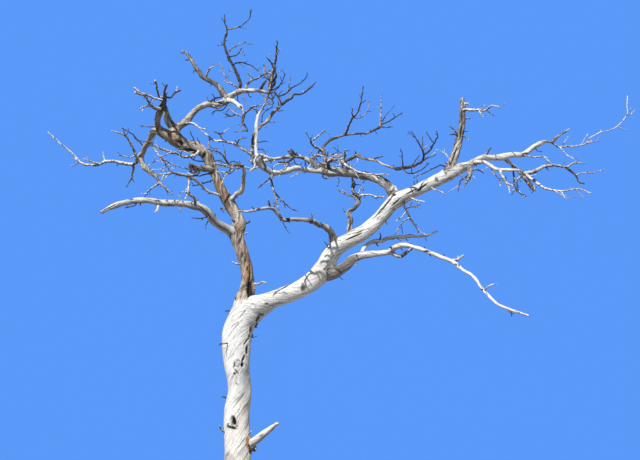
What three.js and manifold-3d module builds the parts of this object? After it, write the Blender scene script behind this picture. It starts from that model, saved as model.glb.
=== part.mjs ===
// A dead tree, bare and long without bark: a thick leaning trunk with a flared foot, a fork above head height,
// long crooked boughs and tufts of bare twigs. Millimetres, Z up, origin on the ground in the middle of the foot.
//
// The tree is described as an eye in front of it sees it. A place is [across, up]: where the eye's line of
// sight meets the upright plane through the foot. Its depth is how far behind that plane the wood really is
// (less than nothing is nearer), so the limbs keep their outline from the front and spread to all sides.
import * as THREE from 'three';
import { mergeVertices } from 'three/addons/utils/BufferGeometryUtils.js';
import Module from 'manifold-3d';

const wasm = await Module();
wasm.setup();

// The eye
const EYE_DISTANCE = 12000;
const EYE_ACROSS = 780;
const EYE_HEIGHT = 1600;
const DEPTH_SCALE = 1.8;         // the depths given below are multiplied by this

// Foot and wood
const FLARE = 120;               // how much the foot is wider than the trunk above it
const FLARE_HEIGHT = 230;        // height over which the flare fades
const BUTTRESSES = 5;            // roots that start in the foot
const BUTTRESS_SWELL = 0.24;     // how far a buttress stands out, as a share of the radius
const OVAL = 0.05;               // how far a limb's section is from round
const TWIST_LENGTH = 900;        // length of limb over which the oval turns once

// Joints and clearances
const JOINT_GAP = 0.3;           // between a limb and what carries it
const TIDY = 0.08;               // how far a corner may move when crumbs of faces are merged
const ROOT_CLEAR = 15;           // first stretch of a side twig, where it may lie against its own limb
const SHOOT_CLEAR = 90;          // the same for a shoot
const TWIG_CLEAR = 3;            // least air between a twig and another limb

// Twigs
const TWIG_TIP = 3;              // radius of a twig's end
const SIDE_TWIG = 5;             // radius of a side twig's root
const SIDE_EVERY = 240;          // spacing of side twigs along a shoot
const SIDE_SHORT = 60;           // shortest and longest side twig
const SIDE_LONG = 170;
const SIDE_ANGLE_LOW = 0.6;      // radians between a shoot and its side twig
const SIDE_ANGLE_HIGH = 1.15;
const ROOM = 150;                // how far a mass's own space reaches past its shoots
const HALF_DEPTH = 230;          // least half-depth of that space

// Colours of the wood
const SILVER = { color: 0xd8d3c8, roughness: 0.85 };
const TAN = { color: 0xb8a68c, roughness: 0.88 };
const GREY = { color: 0x8d867b, roughness: 0.9 };

const tree = new THREE.Group();
const lines = new Map();         // each node's lines: what its limbs and twigs follow
const taken = [];                // samples of all the wood that stands so far
const cutters = [];              // each node a hair fatter, to cut what meets it

function seen(across, up, depth) {
  const spread = (EYE_DISTANCE + depth) / EYE_DISTANCE;
  const x = EYE_ACROSS + (across - EYE_ACROSS) * spread;
  const z = EYE_HEIGHT + (up - EYE_HEIGHT) * spread;
  return new THREE.Vector3(x, depth, z);
}

function seeded(seed) {
  let state = seed;
  return () => {
    state = (state + 0x6d2b79f5) | 0;
    let mixed = Math.imul(state ^ (state >>> 15), 1 | state);
    mixed = (mixed + Math.imul(mixed ^ (mixed >>> 7), 61 | mixed)) ^ mixed;
    return ((mixed ^ (mixed >>> 14)) >>> 0) / 4294967296;
  };
}

// A line of wood through points with a radius at each: samples of place, radius, heading and length so far
function lineOf(points, radii, lead = null) {
  const all = lead ? [lead, ...points] : points;
  const curve = new THREE.CatmullRomCurve3(all, false, 'centripetal');
  const spans = points.length - 1;
  const skip = lead ? 1 : 0;
  const samples = [];
  const perSpan = 12;
  for (let i = 0; i <= spans * perSpan; i += 1) {
    const span = Math.min(Math.floor(i / perSpan), spans - 1);
    const share = i / perSpan - span;
    const point = curve.getPoint((skip + i / perSpan) / (all.length - 1));
    const smooth = share * share * (3 - 2 * share);
    const radius = radii[span] + (radii[span + 1] - radii[span]) * smooth;
    const last = samples.at(-1);
    const along = last ? last.along + last.point.distanceTo(point) : 0;
    samples.push({ point, radius, along });
  }
  samples.forEach((sample, i) => {
    const before = samples[Math.max(i - 1, 0)].point;
    const after = samples[Math.min(i + 1, samples.length - 1)].point;
    sample.heading = after.clone().sub(before).normalize();
  });
  return samples;
}

function alongLine(line, along) {
  const found = line.findIndex((sample, k) => k > 0 && sample.along >= along);
  const i = found < 0 ? line.length - 1 : found;
  const [a, b] = [line[i - 1], line[i]];
  const share = (along - a.along) / (b.along - a.along);
  return {
    point: a.point.clone().lerp(b.point, share),
    radius: a.radius + (b.radius - a.radius) * share,
    heading: a.heading.clone().lerp(b.heading, share).normalize(),
  };
}

// The sample of a line that the eye sees nearest to a place
function nearest(line, [across, up]) {
  const distance = ({ point }) => {
    const spread = EYE_DISTANCE / (EYE_DISTANCE + point.y);
    const x = EYE_ACROSS + (point.x - EYE_ACROSS) * spread;
    const z = EYE_HEIGHT + (point.z - EYE_HEIGHT) * spread;
    return Math.hypot(x - across, z - up);
  };
  return line.reduce((best, sample) => (distance(sample) < distance(best) ? sample : best));
}

// How far the section of a limb stands out at an angle, as a share of its radius
function section(angle, along, height, foot) {
  const turn = (2 * Math.PI * along) / TWIST_LENGTH;
  const wood = 1 + OVAL * Math.sin(2 * angle + turn) + OVAL * 0.6 * Math.sin(3 * angle - turn);
  const root = foot ? BUTTRESS_SWELL * Math.exp(-height / FLARE_HEIGHT) * Math.cos(BUTTRESSES * angle) : 0;
  return wood + root;
}

// A closed cylinder bent along a line, as a solid
function solidOf(line, { sides, step, grow = 0, start = null, foot = false }) {
  const length = line.at(-1).along;
  const rings = Math.max(2, Math.round(length / step));
  const geometry = new THREE.CylinderGeometry(1, 1, 1, sides, rings);
  geometry.deleteAttribute('normal');
  geometry.deleteAttribute('uv');
  const merged = mergeVertices(geometry);
  const frames = [];
  let across = new THREE.Vector3(1, 0, 0);
  for (let i = 0; i <= rings; i += 1) {
    const place = alongLine(line, (length * i) / rings);
    const heading = i === 0 && start ? start : place.heading;
    if (i === 0 && Math.abs(heading.dot(across)) > 0.9) {
      across = new THREE.Vector3(0, 1, 0);
    }
    across = across.clone().addScaledVector(heading, -across.dot(heading)).normalize();
    const side = across.clone().cross(heading);
    const push = i === 0 ? -grow : i === rings ? grow : 0;
    const flare = foot ? FLARE * Math.exp(-place.point.z / FLARE_HEIGHT) : 0;
    const centre = place.point.addScaledVector(heading, push);
    frames.push({ centre, across, side, radius: place.radius + flare + grow, along: (length * i) / rings });
  }
  const position = merged.attributes.position;
  for (let i = 0; i < position.count; i += 1) {
    const [x, y, z] = [position.getX(i), position.getY(i), position.getZ(i)];
    const frame = frames[Math.round((y + 0.5) * rings)];
    const swell = section(Math.atan2(z, x), frame.along, frame.centre.z, foot);
    const vertex = frame.centre.clone();
    vertex.addScaledVector(frame.across, x * frame.radius * swell);
    vertex.addScaledVector(frame.side, z * frame.radius * swell);
    position.setXYZ(i, vertex.x, vertex.y, vertex.z);
  }
  const mesh = new wasm.Mesh({
    numProp: 3,
    vertProperties: new Float32Array(position.array),
    triVerts: new Uint32Array(merged.index.array),
  });
  return new wasm.Manifold(mesh);
}

function boxesMeet(a, b) {
  const [p, q] = [a.boundingBox(), b.boundingBox()];
  return [0, 1, 2].every((axis) => p.min[axis] < q.max[axis] && q.min[axis] < p.max[axis]);
}

// Cuts a solid clear of all the wood that stands, drops scraps and adds it to the tree
function plant(name, solid, fat, finish) {
  let body = solid;
  for (const cutter of cutters) {
    if (boxesMeet(body, cutter)) {
      body = body.subtract(cutter);
    }
  }
  const pieces = body.simplify(TIDY).decompose().sort((a, b) => b.volume() - a.volume());
  const { vertProperties, triVerts } = pieces[0].getMesh();
  const geometry = new THREE.BufferGeometry();
  geometry.setAttribute('position', new THREE.BufferAttribute(vertProperties, 3));
  geometry.setIndex(new THREE.BufferAttribute(triVerts, 1));
  geometry.computeVertexNormals();
  const mesh = new THREE.Mesh(geometry, new THREE.MeshStandardMaterial({ metalness: 0, ...finish }));
  mesh.name = name;
  tree.add(mesh);
  cutters.push(fat);
}

function stand(name, line) {
  line.forEach(({ point, radius }) => taken.push({ point, radius, name }));
  lines.set(name, [...(lines.get(name) ?? []), line]);
}

// A limb: the wood it springs from, its depth at root and tip, and its places with the radius at each.
// A limb that carries on from a tip starts there; any other starts on its carrier's middle line.
function bough(name, { from, depth, places, sides = 8, step = 90, finish = GREY, foot = false }) {
  const carrier = from ? lines.get(from)[0] : null;
  const root = carrier ? nearest(carrier, places[0]) : null;
  const carriesOn = root !== null && root === carrier.at(-1);
  const start = root ? root.point.y : 0;
  const points = places.map(([across, up], i) => {
    const share = i / (places.length - 1);
    return seen(across, up, start + (depth * DEPTH_SCALE - start) * share);
  });
  if (root) {
    points[0] = root.point.clone();
  }
  const radii = places.map((place, i) => place[2] * (1 + points[i].y / EYE_DISTANCE));
  const line = lineOf(points, radii, carriesOn ? carrier.at(-14).point : null);
  const shape = { sides, step, foot, start: carriesOn ? root.heading : null };
  if (foot) {
    shape.start = new THREE.Vector3(0, 0, 1);
  }
  plant(name, solidOf(line, shape), solidOf(line, { ...shape, grow: JOINT_GAP }), finish);
  stand(name, line);
}

// Whether a twig stays in its mass's space and clear of all other wood
function fits(line, space, name, clear) {
  return line.every(({ point, radius, along }) => {
    const away = point.clone().sub(space.centre).divide(space.half);
    if (away.length() > 1) {
      return false;
    }
    return along < clear || taken.every((other) => other.name === name
      || other.point.distanceTo(point) > other.radius + radius + TWIG_CLEAR);
  });
}

// Flat sides enough for a twig this thick
function sidesFor(radius) {
  return radius > 16 ? 6 : radius > 12 ? 5 : radius > 7 ? 4 : 3;
}

function spaceOf(shoots) {
  const box = new THREE.Box3();
  shoots.forEach((line) => line.forEach(({ point }) => box.expandByPoint(point)));
  const half = box.getSize(new THREE.Vector3()).multiplyScalar(0.5 * Math.SQRT2).addScalar(ROOM);
  half.y = Math.max(half.y, HALF_DEPTH);
  return { centre: box.getCenter(new THREE.Vector3()), half };
}

// A side twig: it leaves its shoot at an angle, to a seeded side, and bends upwards on its way
function sideTwig(place, chance) {
  const angle = SIDE_ANGLE_LOW + (SIDE_ANGLE_HIGH - SIDE_ANGLE_LOW) * chance();
  const roll = 2 * Math.PI * chance();
  const length = SIDE_SHORT + (SIDE_LONG - SIDE_SHORT) * chance() ** 1.5;
  const bend = 0.5 * chance() - 0.1;
  const across = new THREE.Vector3(place.heading.z, 0.3, -place.heading.x).cross(place.heading).normalize();
  const outward = across.applyAxisAngle(place.heading, roll);
  const heading = place.heading.clone().multiplyScalar(Math.cos(angle)).addScaledVector(outward, Math.sin(angle));
  const middle = place.point.clone().addScaledVector(heading, length / 2);
  heading.z += bend;
  const end = middle.clone().addScaledVector(heading.normalize(), length / 2);
  const root = Math.min(SIDE_TWIG, place.radius * 0.8);
  return lineOf([place.point, middle, end], [root, root * 0.8, TWIG_TIP]);
}

// A mass of twigs: one stem from a limb, the shoots that show on it, and side twigs by the seeded rule.
// A shoot is [depth of its tip, radius of its root, places…]; it starts on the nearest line of its mass.
function mass(name, { from, girth, depth, stem, shoots = [], seed, finish = GREY }) {
  const carrier = lines.get(from)[0];
  const grow = (parents, [tipDepth, radius, ...places], tipRadius) => {
    const roots = parents.map((line) => nearest(line, places[0]));
    const root = nearest(roots, places[0]);
    const points = places.map(([across, up], i) => {
      const share = i / (places.length - 1);
      return seen(across, up, root.point.y + (tipDepth * DEPTH_SCALE - root.point.y) * share);
    });
    points[0] = root.point.clone();
    const radii = places.map((_, i) => radius + ((tipRadius - radius) * i) / (places.length - 1));
    return lineOf(points, radii);
  };
  const main = [grow([carrier], [depth, girth, ...stem], TWIG_TIP + 1)];
  shoots.forEach((shoot) => main.push(grow(main, shoot, TWIG_TIP)));
  const space = spaceOf(main);
  const kept = [main[0], ...main.slice(1).filter((line) => fits(line, space, name, SHOOT_CLEAR))];
  const chance = seeded(seed);
  const sides = [];
  kept.forEach((line) => {
    const length = line.at(-1).along;
    for (let along = SIDE_EVERY * (0.5 + chance()); along < length * 0.95; along += SIDE_EVERY * (0.7 + chance())) {
      const twig = sideTwig(alongLine(line, along), chance);
      if (fits(twig, space, name, ROOT_CLEAR)) {
        sides.push(twig);
      }
    }
  });
  const rods = (extra) => [
    ...kept.map((line) => solidOf(line, { sides: sidesFor(line[0].radius), step: 125, grow: extra })),
    ...sides.map((line) => solidOf(line, { sides: 3, step: SIDE_LONG, grow: extra })),
  ];
  plant(name, wasm.Manifold.union(rods(0)), wasm.Manifold.union(rods(JOINT_GAP)), finish);
  [...kept, ...sides].forEach((line) => stand(name, line));
}

// Trunk
bough('trunk', {
  from: null, depth: 0, sides: 15, step: 190, finish: SILVER, foot: true,
  places: [[0, 0, 172], [-12, 500, 160], [-28, 1200, 150], [-28, 1900, 142], [-5, 2600, 133], [-14, 3000, 119],
    [2, 3200, 114], [-25, 3450, 128], [-33, 3650, 137], [-18, 3790, 136], [32, 3905, 127], [118, 3990, 109]],
});
bough('trunk_snag', {
  from: 'trunk', depth: -150, step: 95, finish: SILVER,
  places: [[60, 2640, 42], [150, 2715, 38], [230, 2790, 36], [310, 2848, 28], [350, 2880, 18], [392, 2900, 6]],
});

// The right bough, from the fork to its tip, in the stretches between its bends
bough('right_bough_lower', {
  from: 'trunk', depth: -80, sides: 12, step: 155, finish: SILVER,
  places: [[118, 3990, 109], [232, 4064, 94], [330, 4113, 87], [480, 4168, 85], [610, 4225, 88], [740, 4320, 93],
    [830, 4440, 90]],
});
bough('right_bough_middle', {
  from: 'right_bough_lower', depth: -120, sides: 12, step: 145, finish: SILVER,
  places: [[830, 4440, 90], [875, 4550, 85], [960, 4645, 84], [1100, 4725, 80], [1240, 4805, 72],
    [1400, 4960, 67], [1500, 5080, 66], [1620, 5160, 66]],
});
bough('right_bough_upper', {
  from: 'right_bough_middle', depth: 240, sides: 9, step: 120, finish: SILVER,
  places: [[1620, 5160, 66], [1780, 5240, 61], [1920, 5315, 58], [2060, 5385, 56], [2200, 5458, 50],
    [2320, 5520, 43], [2430, 5572, 34], [2590, 5575, 33], [2720, 5603, 28], [2840, 5608, 26], [2900, 5645, 27],
    [2970, 5700, 26], [3070, 5745, 21], [3130, 5740, 15]],
});

// The left stem, from the fork to the knot it ends in
bough('left_stem_lower', {
  from: 'trunk', depth: 60, sides: 10, step: 125, finish: TAN,
  places: [[20, 3950, 106], [40, 4105, 97], [60, 4190, 82], [69, 4250, 70], [62, 4320, 65], [46, 4450, 67],
    [2, 4600, 66], [-44, 4720, 68], [-55, 4800, 68], [-30, 4880, 66], [-50, 4960, 60], [-100, 5040, 57]],
});
bough('left_stem_upper', {
  from: 'left_stem_lower', depth: -60, sides: 10, step: 120, finish: TAN,
  places: [[-100, 5040, 57], [-150, 5125, 57], [-205, 5220, 56], [-256, 5330, 52], [-295, 5430, 48],
    [-345, 5530, 49], [-400, 5625, 52], [-475, 5680, 58], [-600, 5705, 60], [-690, 5765, 62],
    [-760, 5805, 54], [-840, 5860, 42]],
});

// Boughs of the left stem
bough('left_bough', {
  from: 'left_stem_lower', depth: -480, step: 115, finish: SILVER,
  places: [[-50, 4780, 52], [-170, 4830, 46], [-270, 4890, 45], [-335, 4975, 44], [-430, 5055, 38], [-600, 5090, 34],
    [-800, 5095, 31], [-1000, 5125, 28], [-1150, 5108, 26], [-1280, 5068, 20], [-1415, 5000, 8]],
});
bough('white_bough', {
  from: 'left_stem_upper', depth: -150, sides: 6, step: 95, finish: SILVER,
  places: [[-215, 5140, 17], [-330, 5210, 13], [-440, 5305, 14], [-530, 5368, 16]],
});
bough('broken_stub', {
  from: 'left_stem_upper', depth: -170, step: 85, finish: TAN,
  places: [[-320, 5450, 44], [-420, 5455, 38], [-495, 5465, 31], [-545, 5487, 22]],
});
bough('riser', {
  from: 'left_stem_upper', depth: -160, sides: 7, step: 90, finish: TAN,
  places: [[-125, 5090, 26], [-75, 5175, 23], [-10, 5225, 21], [0, 5320, 20], [8, 5410, 19], [0, 5490, 16]],
});
bough('west_bough', {
  from: 'left_stem_upper', depth: -150, step: 80, finish: GREY,
  places: [[-840, 5860, 42], [-878, 5930, 34], [-873, 6010, 30], [-850, 6095, 30]],
});
bough('arc_bough', {
  from: 'left_stem_upper', depth: 350, step: 110, finish: TAN,
  places: [[-690, 5765, 56], [-700, 5865, 50], [-650, 5925, 39], [-590, 5965, 35], [-530, 6040, 33],
    [-465, 6110, 31], [-390, 6150, 30], [-300, 6140, 30], [-210, 6175, 31], [-140, 6245, 30]],
});
bough('west_brace', {
  from: 'arc_bough', depth: -60, sides: 6, step: 90, finish: GREY,
  places: [[-700, 5890, 38], [-755, 5950, 35], [-790, 6030, 31], [-803, 6110, 20]],
});
bough('horn', {
  from: 'arc_bough', depth: 600, step: 100, finish: GREY,
  places: [[-176, 6209, 30], [-244, 6318, 29], [-340, 6395, 27], [-440, 6470, 25], [-510, 6560, 22],
    [-560, 6650, 19], [-592, 6700, 15], [-650, 6745, 9]],
});
bough('neck_bough', {
  from: 'arc_bough', depth: 150, sides: 7, step: 90, finish: SILVER,
  places: [[-185, 6200, 30], [-110, 6183, 27], [-50, 6135, 25], [-10, 6092, 20], [-2, 6030, 13]],
});
bough('rail', {
  from: 'arc_bough', depth: 190, sides: 6, step: 100, finish: SILVER,
  places: [[-170, 6210, 30], [-60, 6283, 26], [50, 6305, 23], [150, 6300, 20], [280, 6275, 13]],
});
bough('far_left_bough', {
  from: 'left_stem_upper', depth: 260, sides: 7, step: 90, finish: TAN,
  places: [[-790, 5830, 38], [-905, 5850, 32], [-950, 5780, 29], [-995, 5700, 26], [-1030, 5620, 25], [-1065, 5555, 23]],
});
bough('tail_bough', {
  from: 'far_left_bough', depth: 120, sides: 7, step: 85, finish: GREY,
  places: [[-1050, 5585, 24], [-1000, 5485, 28], [-940, 5420, 24], [-885, 5375, 19], [-845, 5310, 10]],
});

// Boughs of the right bough
bough('snake_bough', {
  from: 'right_bough_middle', depth: -430, sides: 7, step: 95, finish: GREY,
  places: [[945, 4640, 36], [915, 4740, 32], [885, 4805, 30], [830, 4848, 27], [755, 4875, 25], [690, 4915, 23],
    [560, 4920, 20], [420, 4925, 20], [365, 4970, 20], [310, 5035, 19], [250, 5045, 16], [110, 5015, 13],
    [-30, 5012, 8]],
});
bough('s_bough', {
  from: 'right_bough_middle', depth: 190, sides: 7, step: 80, finish: GREY,
  places: [[1090, 4730, 29], [1076, 4830, 26], [1092, 4925, 22], [1060, 5000, 19], [1120, 5045, 19], [1172, 5095, 21],
    [1140, 5165, 24], [1108, 5230, 16], [1112, 5325, 13]],
});
bough('low_bough_inner', {
  from: 'right_bough_lower', depth: -160, step: 100, finish: TAN,
  places: [[800, 4390, 60], [905, 4368, 54], [1000, 4424, 50], [1110, 4516, 46], [1220, 4560, 37], [1350, 4572, 30],
    [1450, 4582, 28]],
});
bough('low_bough_outer', {
  from: 'low_bough_inner', depth: -820, step: 120, finish: SILVER,
  places: [[1450, 4582, 28], [1530, 4632, 27], [1630, 4655, 26], [1750, 4628, 25], [1900, 4575, 23], [2100, 4490, 21],
    [2200, 4405, 18], [2290, 4345, 18], [2400, 4195, 17], [2490, 4095, 16], [2590, 4025, 15], [2830, 3945, 11]],
});
bough('low_spur', {
  from: 'low_bough_inner', depth: 130, sides: 6, step: 110, finish: SILVER,
  places: [[1190, 4560, 20], [1215, 4635, 17], [1280, 4683, 20], [1370, 4705, 20], [1480, 4732, 19], [1620, 4743, 17],
    [1830, 4758, 12], [1950, 4805, 8]],
});
bough('stump_bough', {
  from: 'right_bough_upper', depth: 130, step: 110, finish: GREY,
  places: [[2050, 5380, 48], [2090, 5470, 43], [2135, 5570, 39], [2178, 5690, 36], [2207, 5790, 35], [2224, 5900, 35],
    [2232, 6000, 33], [2243, 6100, 29], [2245, 6225, 19]],
});
bough('middle_bough', {
  from: 'right_bough_middle', depth: 250, sides: 10, step: 100, finish: SILVER,
  places: [[1560, 5120, 60], [1505, 5215, 50], [1445, 5300, 46], [1360, 5350, 43], [1250, 5385, 41], [1120, 5402, 40],
    [1000, 5415, 42], [900, 5422, 42], [820, 5445, 46], [760, 5475, 38]],
});
bough('middle_rail', {
  from: 'middle_bough', depth: 220, sides: 7, step: 95, finish: SILVER,
  places: [[760, 5475, 35], [695, 5525, 29], [630, 5567, 23], [560, 5590, 19], [450, 5588, 17], [350, 5568, 16],
    [260, 5550, 16], [100, 5515, 14]],
});
bough('sag_bough', {
  from: 'middle_bough', depth: -40, sides: 7, step: 90, finish: SILVER,
  places: [[840, 5440, 34], [740, 5432, 24], [620, 5450, 25], [540, 5468, 29], [470, 5445, 29], [380, 5412, 28],
    [300, 5415, 27], [230, 5455, 27], [175, 5488, 25], [140, 5550, 21]],
});
bough('upright_bough', {
  from: 'sag_bough', depth: 40, sides: 6, step: 100, finish: SILVER,
  places: [[140, 5550, 21], [134, 5640, 19], [128, 5760, 18], [130, 5900, 17], [142, 6030, 17], [185, 6105, 15],
    [225, 6190, 15], [253, 6290, 20], [268, 6400, 22], [292, 6490, 16], [310, 6590, 10]],
});
bough('dark_bough', {
  from: 'middle_rail', depth: 330, sides: 6, step: 90, finish: GREY,
  places: [[124, 5520, 16], [96, 5600, 15], [95, 5720, 17], [103, 5810, 15], [160, 5900, 15], [230, 5955, 15],
    [290, 6040, 17], [340, 6100, 15], [385, 6150, 12]],
});
bough('crown_bough', {
  from: 'middle_bough', depth: 640, sides: 6, step: 90, finish: GREY,
  places: [[835, 5450, 34], [838, 5540, 29], [812, 5620, 22], [822, 5700, 15], [880, 5760, 13], [960, 5795, 13],
    [1040, 5822, 13], [1160, 5830, 11], [1290, 5852, 11], [1385, 5900, 11]],
});
bough('knot_bough', {
  from: 'middle_bough', depth: -180, sides: 6, step: 90, finish: GREY,
  places: [[1080, 5410, 20], [1040, 5530, 15], [1095, 5570, 16], [1160, 5592, 20], [1250, 5562, 13], [1340, 5545, 12],
    [1450, 5490, 11], [1550, 5456, 14]],
});
bough('end_bough', {
  from: 'right_bough_upper', depth: 330, sides: 7, step: 90, finish: SILVER,
  places: [[2640, 5585, 28], [2685, 5540, 23], [2740, 5488, 21], [2800, 5432, 21], [2850, 5403, 18]],
});
bough('under_bough', {
  from: 'right_bough_upper', depth: -330, sides: 6, step: 95, finish: SILVER,
  places: [[2330, 5515, 24], [2415, 5530, 19], [2495, 5503, 18], [2575, 5455, 17], [2680, 5450, 15], [2790, 5438, 12]],
});

// Masses of twigs on the left stem's boughs
mass('twigs_hook', {
  from: 'rail', girth: 15, depth: 200, seed: 11,
  stem: [[-75, 6275], [-40, 6380], [-75, 6480], [-120, 6580], [-170, 6670], [-200, 6760], [-215, 6850], [-195, 6930],
    [-190, 6990], [-212, 7060], [-218, 7150]],
  shoots: [
    [60, 6, [-188, 6985], [-100, 7000], [-20, 7040], [45, 7110], [66, 7210]],
    [160, 7, [-125, 6590], [-60, 6613], [40, 6590], [140, 6515]],
    [420, 6, [-185, 6720], [-110, 6785], [10, 6840]],
    [120, 6, [-175, 6680], [-85, 6695], [-30, 6770]],
    [460, 8, [-60, 6330], [-150, 6390], [-195, 6460], [-255, 6610]],
  ],
});
mass('twigs_rail', {
  from: 'rail', girth: 11, depth: 420, seed: 12,
  stem: [[10, 6300], [20, 6360], [70, 6405], [130, 6440], [200, 6485], [195, 6600]],
  shoots: [[480, 6, [100, 6425], [40, 6482]], [250, 6, [160, 6460], [240, 6500], [262, 6530]]],
});
mass('twigs_neck', {
  from: 'neck_bough', girth: 13, depth: 60, seed: 20,
  stem: [[-2, 6030], [-14, 5970], [2, 5940], [32, 5890], [42, 5850]],
  shoots: [
    [120, 9, [0, 6045], [50, 6090], [120, 6098], [150, 6080]],
    [60, 9, [10, 6080], [100, 6130], [200, 6142], [262, 6165], [318, 6262]],
    [330, 8, [-15, 6020], [-90, 6055], [-145, 6105], [-172, 6142]],
    [420, 6, [-75, 6048], [-140, 6018], [-212, 6062]],
    [-60, 6, [0, 5945], [-32, 5906]],
    [160, 6, [38, 5862], [-78, 5860]],
  ],
});
mass('twigs_west', {
  from: 'west_bough', girth: 30, depth: -330, seed: 13,
  stem: [[-850, 6095], [-820, 6190], [-812, 6250], [-822, 6300], [-800, 6365]],
  shoots: [
    [-180, 12, [-812, 6230], [-760, 6225], [-710, 6280], [-655, 6305]],
    [-450, 13, [-820, 6205], [-880, 6250], [-895, 6330], [-930, 6412]],
    [-250, 13, [-822, 6190], [-900, 6215], [-960, 6240], [-1050, 6268], [-1130, 6330]],
    [-480, 20, [-850, 6100], [-920, 6112], [-970, 6160], [-1010, 6230], [-1125, 6285]],
    [-600, 7, [-960, 6135], [-1060, 6112]],
  ],
});
mass('twigs_far_left', {
  from: 'far_left_bough', girth: 15, depth: 430, seed: 14,
  stem: [[-1065, 5555], [-1110, 5505], [-1220, 5518], [-1400, 5540], [-1460, 5502], [-1630, 5512], [-1690, 5570],
    [-1730, 5620], [-1870, 5735], [-1995, 5852]],
  shoots: [
    [100, 13, [-1070, 5550], [-1115, 5670], [-1180, 5785], [-1230, 5825], [-1345, 5865]],
    [420, 12, [-1110, 5510], [-1108, 5430], [-1130, 5340], [-1178, 5257]],
    [160, 7, [-1085, 5605], [-1165, 5580], [-1272, 5605]],
    [560, 6, [-1400, 5540], [-1418, 5602]],
    [300, 6, [-1450, 5510], [-1530, 5530], [-1622, 5562]],
    [480, 6, [-1660, 5530], [-1700, 5500], [-1745, 5492]],
    [60, 6, [-1215, 5810], [-1228, 5900]],
  ],
});
mass('twigs_tail', {
  from: 'tail_bough', girth: 9, depth: -20, seed: 15,
  stem: [[-845, 5310], [-790, 5268], [-700, 5185]],
  shoots: [[330, 7, [-838, 5305], [-930, 5238], [-982, 5155]]],
});
mass('twigs_veil', {
  from: 'left_stem_upper', girth: 12, depth: -330, seed: 16,
  stem: [[-450, 5660], [-480, 5605], [-570, 5582], [-640, 5600], [-700, 5632], [-790, 5600], [-850, 5580]],
  shoots: [
    [-420, 6, [-700, 5632], [-830, 5665], [-915, 5705], [-930, 5760]],
    [-200, 6, [-845, 5582], [-780, 5540], [-640, 5475]],
    [-480, 6, [-640, 5600], [-600, 5700]],
  ],
});
mass('twigs_white', {
  from: 'white_bough', girth: 17, depth: -380, seed: 17, finish: SILVER,
  stem: [[-530, 5368], [-620, 5395], [-720, 5412], [-800, 5400], [-895, 5388]],
  shoots: [
    [-300, 7, [-545, 5375], [-543, 5290], [-552, 5200], [-575, 5130]],
    [-520, 6, [-720, 5412], [-780, 5500], [-830, 5560]],
    [-450, 6, [-800, 5400], [-815, 5330]],
  ],
});
mass('twigs_left', {
  from: 'left_bough', girth: 13, depth: 60, seed: 18, finish: SILVER,
  stem: [[-440, 5060], [-460, 5120], [-505, 5165], [-562, 5205]],
  shoots: [[130, 6, [-500, 5160], [-560, 5250]]],
});
mass('twigs_row', {
  from: 'riser', girth: 14, depth: -380, seed: 19,
  stem: [[0, 5490], [-60, 5492], [-140, 5505], [-180, 5560], [-230, 5625], [-375, 5668]],
  shoots: [
    [-300, 6, [-185, 5570], [-190, 5662]],
    [-420, 8, [-130, 5500], [-210, 5495], [-290, 5515]],
    [-320, 9, [-110, 5498], [-150, 5410], [-180, 5375], [-212, 5300]],
    [-60, 7, [-20, 5490], [-40, 5540]],
  ],
});

// Masses of twigs on the right bough's boughs
mass('twigs_centre', {
  from: 'dark_bough', girth: 12, depth: 330, seed: 21,
  stem: [[93, 5605], [40, 5640], [-60, 5705], [-200, 5755], [-290, 5757], [-350, 5800], [-430, 5862]],
  shoots: [
    [420, 7, [-215, 5757], [-240, 5825], [-302, 5852]],
    [480, 6, [-238, 5820], [-180, 5862]],
    [180, 6, [-345, 5800], [-352, 5665]],
    [160, 6, [-75, 5712], [-40, 5770], [30, 5790]],
  ],
});
mass('twigs_upright', {
  from: 'upright_bough', girth: 10, depth: -60, seed: 22,
  stem: [[310, 6590], [325, 6690], [333, 6780], [332, 6862]],
  shoots: [[120, 6, [314, 6600], [275, 6612], [225, 6672]], [-160, 6, [325, 6690], [360, 6760]]],
});
mass('twigs_dark', {
  from: 'dark_bough', girth: 12, depth: 460, seed: 23,
  stem: [[385, 6150], [440, 6190], [490, 6218], [520, 6258], [600, 6272], [680, 6328], [732, 6388]],
  shoots: [
    [180, 8, [390, 6155], [350, 6235], [312, 6292]],
    [60, 7, [350, 6238], [430, 6270], [490, 6330], [560, 6370], [625, 6435], [652, 6500]],
    [20, 5, [340, 6330], [390, 6400], [420, 6490]],
  ],
});
mass('twigs_sag', {
  from: 'sag_bough', girth: 10, depth: -330, seed: 24,
  stem: [[300, 5410], [290, 5330], [310, 5250], [345, 5120], [378, 4992]],
  shoots: [
    [-120, 7, [325, 5215], [420, 5105], [500, 5032], [562, 5010]],
    [40, 7, [292, 5375], [220, 5310], [150, 5250]],
  ],
});
mass('twigs_crown_top', {
  from: 'crown_bough', girth: 12, depth: 760, seed: 26,
  stem: [[1385, 5900], [1400, 5960], [1405, 6100], [1416, 6272]],
  shoots: [
    [560, 7, [1390, 5915], [1460, 5900], [1522, 5906]],
    [460, 7, [1395, 5925], [1500, 5975], [1622, 6062]],
    [820, 6, [1400, 5960], [1440, 6000], [1476, 6062]],
  ],
});
mass('twigs_crown_rise', {
  from: 'crown_bough', girth: 11, depth: 240, seed: 27,
  stem: [[1030, 5820], [1080, 5930], [1118, 6005], [1175, 6095], [1205, 6200], [1226, 6352]],
  shoots: [
    [480, 6, [1118, 6005], [1200, 6010], [1262, 6065], [1286, 6182]],
    [330, 6, [1112, 5995], [1112, 6112]],
  ],
});
mass('twigs_crown_left', {
  from: 'crown_bough', girth: 11, depth: 140, seed: 28,
  stem: [[812, 5640], [750, 5680], [692, 5730], [702, 5765], [790, 5830], [832, 5874]],
  shoots: [[420, 7, [780, 5660], [740, 5590], [712, 5545]], [60, 6, [695, 5735], [685, 5785]]],
});
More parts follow.
